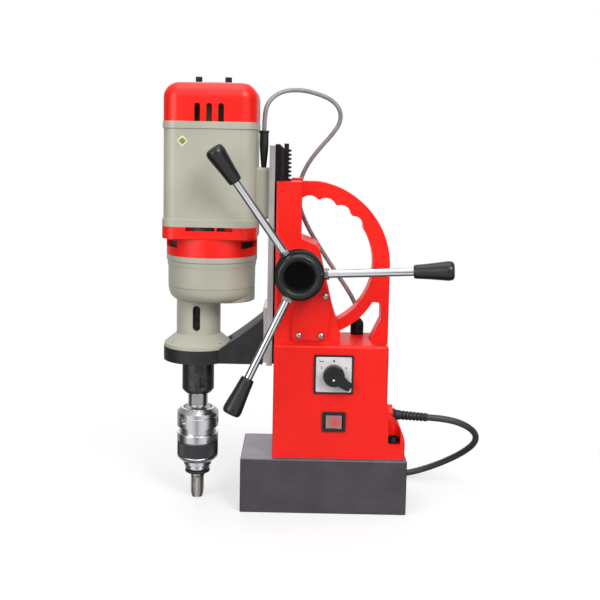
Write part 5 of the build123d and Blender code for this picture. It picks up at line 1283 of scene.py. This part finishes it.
# ------------------------------------------------------------------------------ switches and gland
@dataclass
class SwitchPanel:
    """The rotary switch with its marks, the rocker switch and the lead gland.

    Attributes:
        mark_radius_mm: Distance of the dial marks from the knob's axis.
        mark_angles_deg: Their clock places, as angles above +X.
    """

    mark_radius_mm: float = 18.6
    mark_angles_deg: tuple[float, ...] = (150.0, 90.0, 30.0)

    def marks(self) -> None:
        """Raises three dial marks and a blank corner tab on the switch plate."""
        low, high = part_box("cam_switch_plate")
        back, front = low.y + 0.1 * MM, low.y - 0.12 * MM
        grids = []
        for index, angle in enumerate(self.mark_angles_deg):
            turn = math.radians(angle)
            x = SWITCH_AT[0] + self.mark_radius_mm * MM * math.cos(turn)
            z = SWITCH_AT[2] + self.mark_radius_mm * MM * math.sin(turn)
            half_x, half_z = (0.5, 1.6) if index != 1 else (1.1, 1.5)
            grids.append(box_grid((x - half_x * MM, front, z - half_z * MM),
                                  (x + half_x * MM, back, z + half_z * MM)))
        left, top = low.x + 4.0 * MM, high.z - 5.2 * MM
        grids.append(box_grid((left, front, top - 1.0 * MM), (left + 6.0 * MM, back, top)))
        settle(build_piece("switch_dial_marks", grids, 20.0), Finishes.MARK_INK, "cam_switch_plate")

    def pointer(self) -> None:
        """Sets the white dot into the knob's face, just below its centre."""
        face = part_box("switch_knob")[0].y
        origin = (SWITCH_AT[0] - 0.3 * MM, face + 0.3 * MM, SWITCH_AT[2] - 4.6 * MM)
        corners = [(0, 0, 0), (1.5, 0, 0.1), (1.5, 0.32, 0.25), (0, 0.45, 0)]
        turned_piece("switch_knob_dot", corners, origin, -BACKWARDS, Finishes.WHITE_DOT, "switch_knob", segments=24)

    def gland(self) -> None:
        """Turns the gland: a hexagon base and a ribbed dome nut round the lead."""
        centre = np.array(middle("lead_gland"))
        _, top = levels("lead_gland")
        foot = top - 22.0
        base = rounded_profile([(3.4, foot, 0), (10.1, foot, 0.4), (10.1, foot + 4.0, 0.6), (3.4, foot + 4.0, 0),
                                (3.4, foot, 0)])
        hexagon = build_piece("lead_gland_base", [turned_grid(base, centre, UP, 6)], 20.0)
        soften(settle(hexagon, Finishes.BLACK_PLASTIC, "lead_gland"), 0.5)
        height = np.linspace(foot + 4.05, top, 34)
        share = np.clip((height - (top - 9.0)) / 9.0, 0.0, 1.0)
        skirt, mouth, sides, rib_count = 9.2, 4.6, 144, 18
        dome = skirt - (skirt - mouth) * share ** 2.2
        turn = np.arange(sides) / sides * FULL_TURN
        fade = np.clip(1.0 - share * 1.6, 0.0, 1.0)[:, None]
        ribs = 0.35 * fade * (0.5 + 0.5 * np.cos(turn * rib_count))[None]
        outer = wavy_grid((dome[:, None] - ribs) * MM, height * MM, centre, UP)
        above, below = (turned_grid(np.array([[3.1 * MM, z * MM]]), centre, UP, sides)
                        for z in (top, foot + 4.05))
        grid = np.concatenate([below, outer, above, below])
        nut = settle(build_piece("lead_gland_nut", [grid], 45.0), Finishes.BLACK_PLASTIC, "lead_gland")
        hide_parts("lead_gland")

    def build(self) -> None:
        """Builds both switches and the gland."""
        refine_all((("cam_switch_frame", Finishes.BLACK_PLASTIC, 0.35),
                    ("cam_switch_plate", Finishes.SWITCH_GREY, 0.25), ("switch_knob", Finishes.PHENOLIC, 0.7),
                    ("rocker_housing", Finishes.BLACK_PLASTIC, 0.35), ("rocker_button", Finishes.LENS, 0.3)))
        self.marks()
        self.pointer()
        self.gland()


# ------------------------------------------------------------------------------- castings and rest
@dataclass
class Castings:
    """The painted castings and shells, the slide, and the machine's inner pieces.

    Attributes:
        edges: For each refined node, its finish and the rounding of its edges in millimetres.
        plain: For each node whose own mesh stays, its finish.
        shade_sleeve_mm: Foot and head of the dark sleeve inside the gearbox's neck, painted shade behind its
            windows.
    """

    shade_sleeve_mm: tuple[float, float] = (233.0, 274.0)
    edges: tuple = (
        ("magnet_body", Finishes.DARK_GROUND, 0.3), ("column", Finishes.RED_ENAMEL, 1.3),
        ("rear_cover", Finishes.RED_ENAMEL, 0.5), ("feed_cover", Finishes.RED_ENAMEL, 1.0),
        ("base_bolts", Finishes.BLACK_OXIDE, 0.35), ("panel_screws", Finishes.ZINC, 0.2),
        ("gib_screws", Finishes.BLACK_OXIDE, 0.25), ("slide_plate", Finishes.GROUND, 0.4),
        ("slide_screws", Finishes.BLACK_OXIDE, 0.3), ("dovetail_bar", Finishes.BLACK_OXIDE, 0.4),
        ("rack", Finishes.BLACK_OXIDE, 0.18), ("arm_bracket", Finishes.BLACK_CASTING, 1.6),
        ("flange_screws", Finishes.BLACK_OXIDE, 0.3), ("gearbox_housing", Finishes.BEIGE_ENAMEL, 0.8),
        ("gearbox_cover", Finishes.BEIGE_ENAMEL, 0.8), ("gearbox_screws", Finishes.BLACK_OXIDE, 0.3),
        ("fan_housing", Finishes.RED_ENAMEL, 0.8), ("motor_casing", Finishes.BEIGE_ENAMEL, 1.2),
        ("motor_cap", Finishes.RED_ENAMEL, 0.8), ("cap_screws", Finishes.BLACK_OXIDE, 0.35),
        ("gib", Finishes.BRASS, 0.2))
    plain: tuple = (
        ("magnet_coils", Finishes.COPPER), ("magnet_potting", Finishes.RESIN), ("feed_bushes", Finishes.BRASS),
        ("cam_switch_body", Finishes.BLACK_PLASTIC), ("magnet_rectifier", Finishes.BOARD),
        ("bearings", Finishes.SHAFT_STEEL), ("stator", Finishes.LAMINATIONS), ("brush_gear", Finishes.BRASS),
        ("armature_shaft", Finishes.SHAFT_STEEL), ("armature_core", Finishes.LAMINATIONS),
        ("cooling_fan", Finishes.BLACK_PLASTIC), ("idler_gear", Finishes.SHAFT_STEEL),
        ("sleeve_spring", Finishes.SHAFT_STEEL))

    def lead_boot(self) -> None:
        """Turns the boot of the motor lead: a rolled mouth, a full belly and a narrow foot."""
        foot, top = levels("lead_boot")
        corners = [(0, foot, 0), (3.4, foot, 0.6), (4.6, foot + 12, 8), (6.0, foot + 30, 9), (5.7, top - 5, 3),
                   (5.9, top - 3.4, 0.6), (6.7, top - 2.6, 0.6), (6.7, top - 0.3, 0.5), (4.4, top - 0.3, 0.6),
                   (3.1, top - 2.0, 0.3), (0, top - 2.0, 0)]
        boot = turned_piece("lead_boot_moulded", corners, middle("lead_boot"), UP, Finishes.RUBBER, "lead_boot",
                            segments=48)
        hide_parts("lead_boot")

    def brush_board(self) -> None:
        """Turns the insulating board that stands round the commutator and shows through the cap's slots."""
        centre = middle("motor_cap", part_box("motor_cap")[0].z)
        ring = [(36.0, 0.4, 0), (39.0, 0.4, 0.3), (39.0, 33.0, 0.8), (36.0, 33.0, 0.3), (36.0, 0.4, 0)]
        turned_piece("brush_board", ring, centre, UP, Finishes.BRUSH_BOARD, "brush_gear")

    def vent_shade_ring(self) -> None:
        """Turns a dark ring inside the fan housing that closes its vents from within, so they show painted shade.
        """
        low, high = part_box("fan_housing")
        centre = middle("fan_housing", low.z)
        head = (high.z - low.z) / MM
        ring = [(52.6, 1.0, 0), (53.9, 1.0, 0.3), (53.9, head - 1.0, 0.3), (52.6, head - 1.0, 0.3),
                (52.6, 1.0, 0)]
        turned_piece("vent_shade_ring", ring, centre, UP, Finishes.BLACK_PLASTIC, "fan_housing", segments=128)

    def neck_shade_sleeve(self) -> None:
        """Turns a dark sleeve inside the gearbox's neck that closes its windows from within: painted shade where
        the neck is open.
        """
        foot, head = self.shade_sleeve_mm
        ring = [(20.6, foot, 0), (22.4, foot, 0.3), (22.4, head, 0.3), (20.6, head, 0.3), (20.6, foot, 0)]
        turned_piece("neck_shade_sleeve", ring, SPINDLE_CENTRE, UP, Finishes.BLACK_OXIDE, "gearbox_housing")

    def label(self) -> None:
        """Builds the blank diamond label: a cream border round a plain olive field."""
        low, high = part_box("motor_label")
        x, z = (low.x + high.x) / 2, (low.z + high.z) / 2
        half = (high.x - low.x) / 2
        back, front = high.y + 0.3 * MM, low.y
        for name, reach, face, finish in (("label_border", half, front, Finishes.LABEL_BORDER),
                                          ("label_field", half * 0.7, front - 0.08 * MM, Finishes.LABEL_FACE)):
            profile = np.array([[0, 0], [reach, 0], [reach, back - face], [0, back - face]])
            grid = turned_grid(profile, np.array([x, back, z]), -BACKWARDS, 4)
            piece = settle(build_piece(name, [grid], 20.0), finish, "motor_label")
            if name == "label_border":
                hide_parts("motor_label")

    def build(self) -> None:
        """Refines the castings and dresses the inner pieces."""
        refine_all(self.edges)
        for node, finish in self.plain:
            own = frame["nodes"][node]
            own.data.materials.clear()
            own.data.materials.append(finish.value.material())
        self.lead_boot()
        self.label()
        self.brush_board()
        self.vent_shade_ring()
        self.neck_shade_sleeve()


def main() -> None:
    """Builds the studio, then each sub-assembly in order, and reports each one."""
    logging.basicConfig(level=logging.INFO, format="%(name)s: %(message)s")
    for part in (Studio(), MainsCord(), MotorLead(), Castings(), FeedCapstan(), ChuckAndTap(), SwitchPanel()):
        part.build()
        LOG.info("built %s", type(part).__name__)


if __name__ == "__main__":
    main()
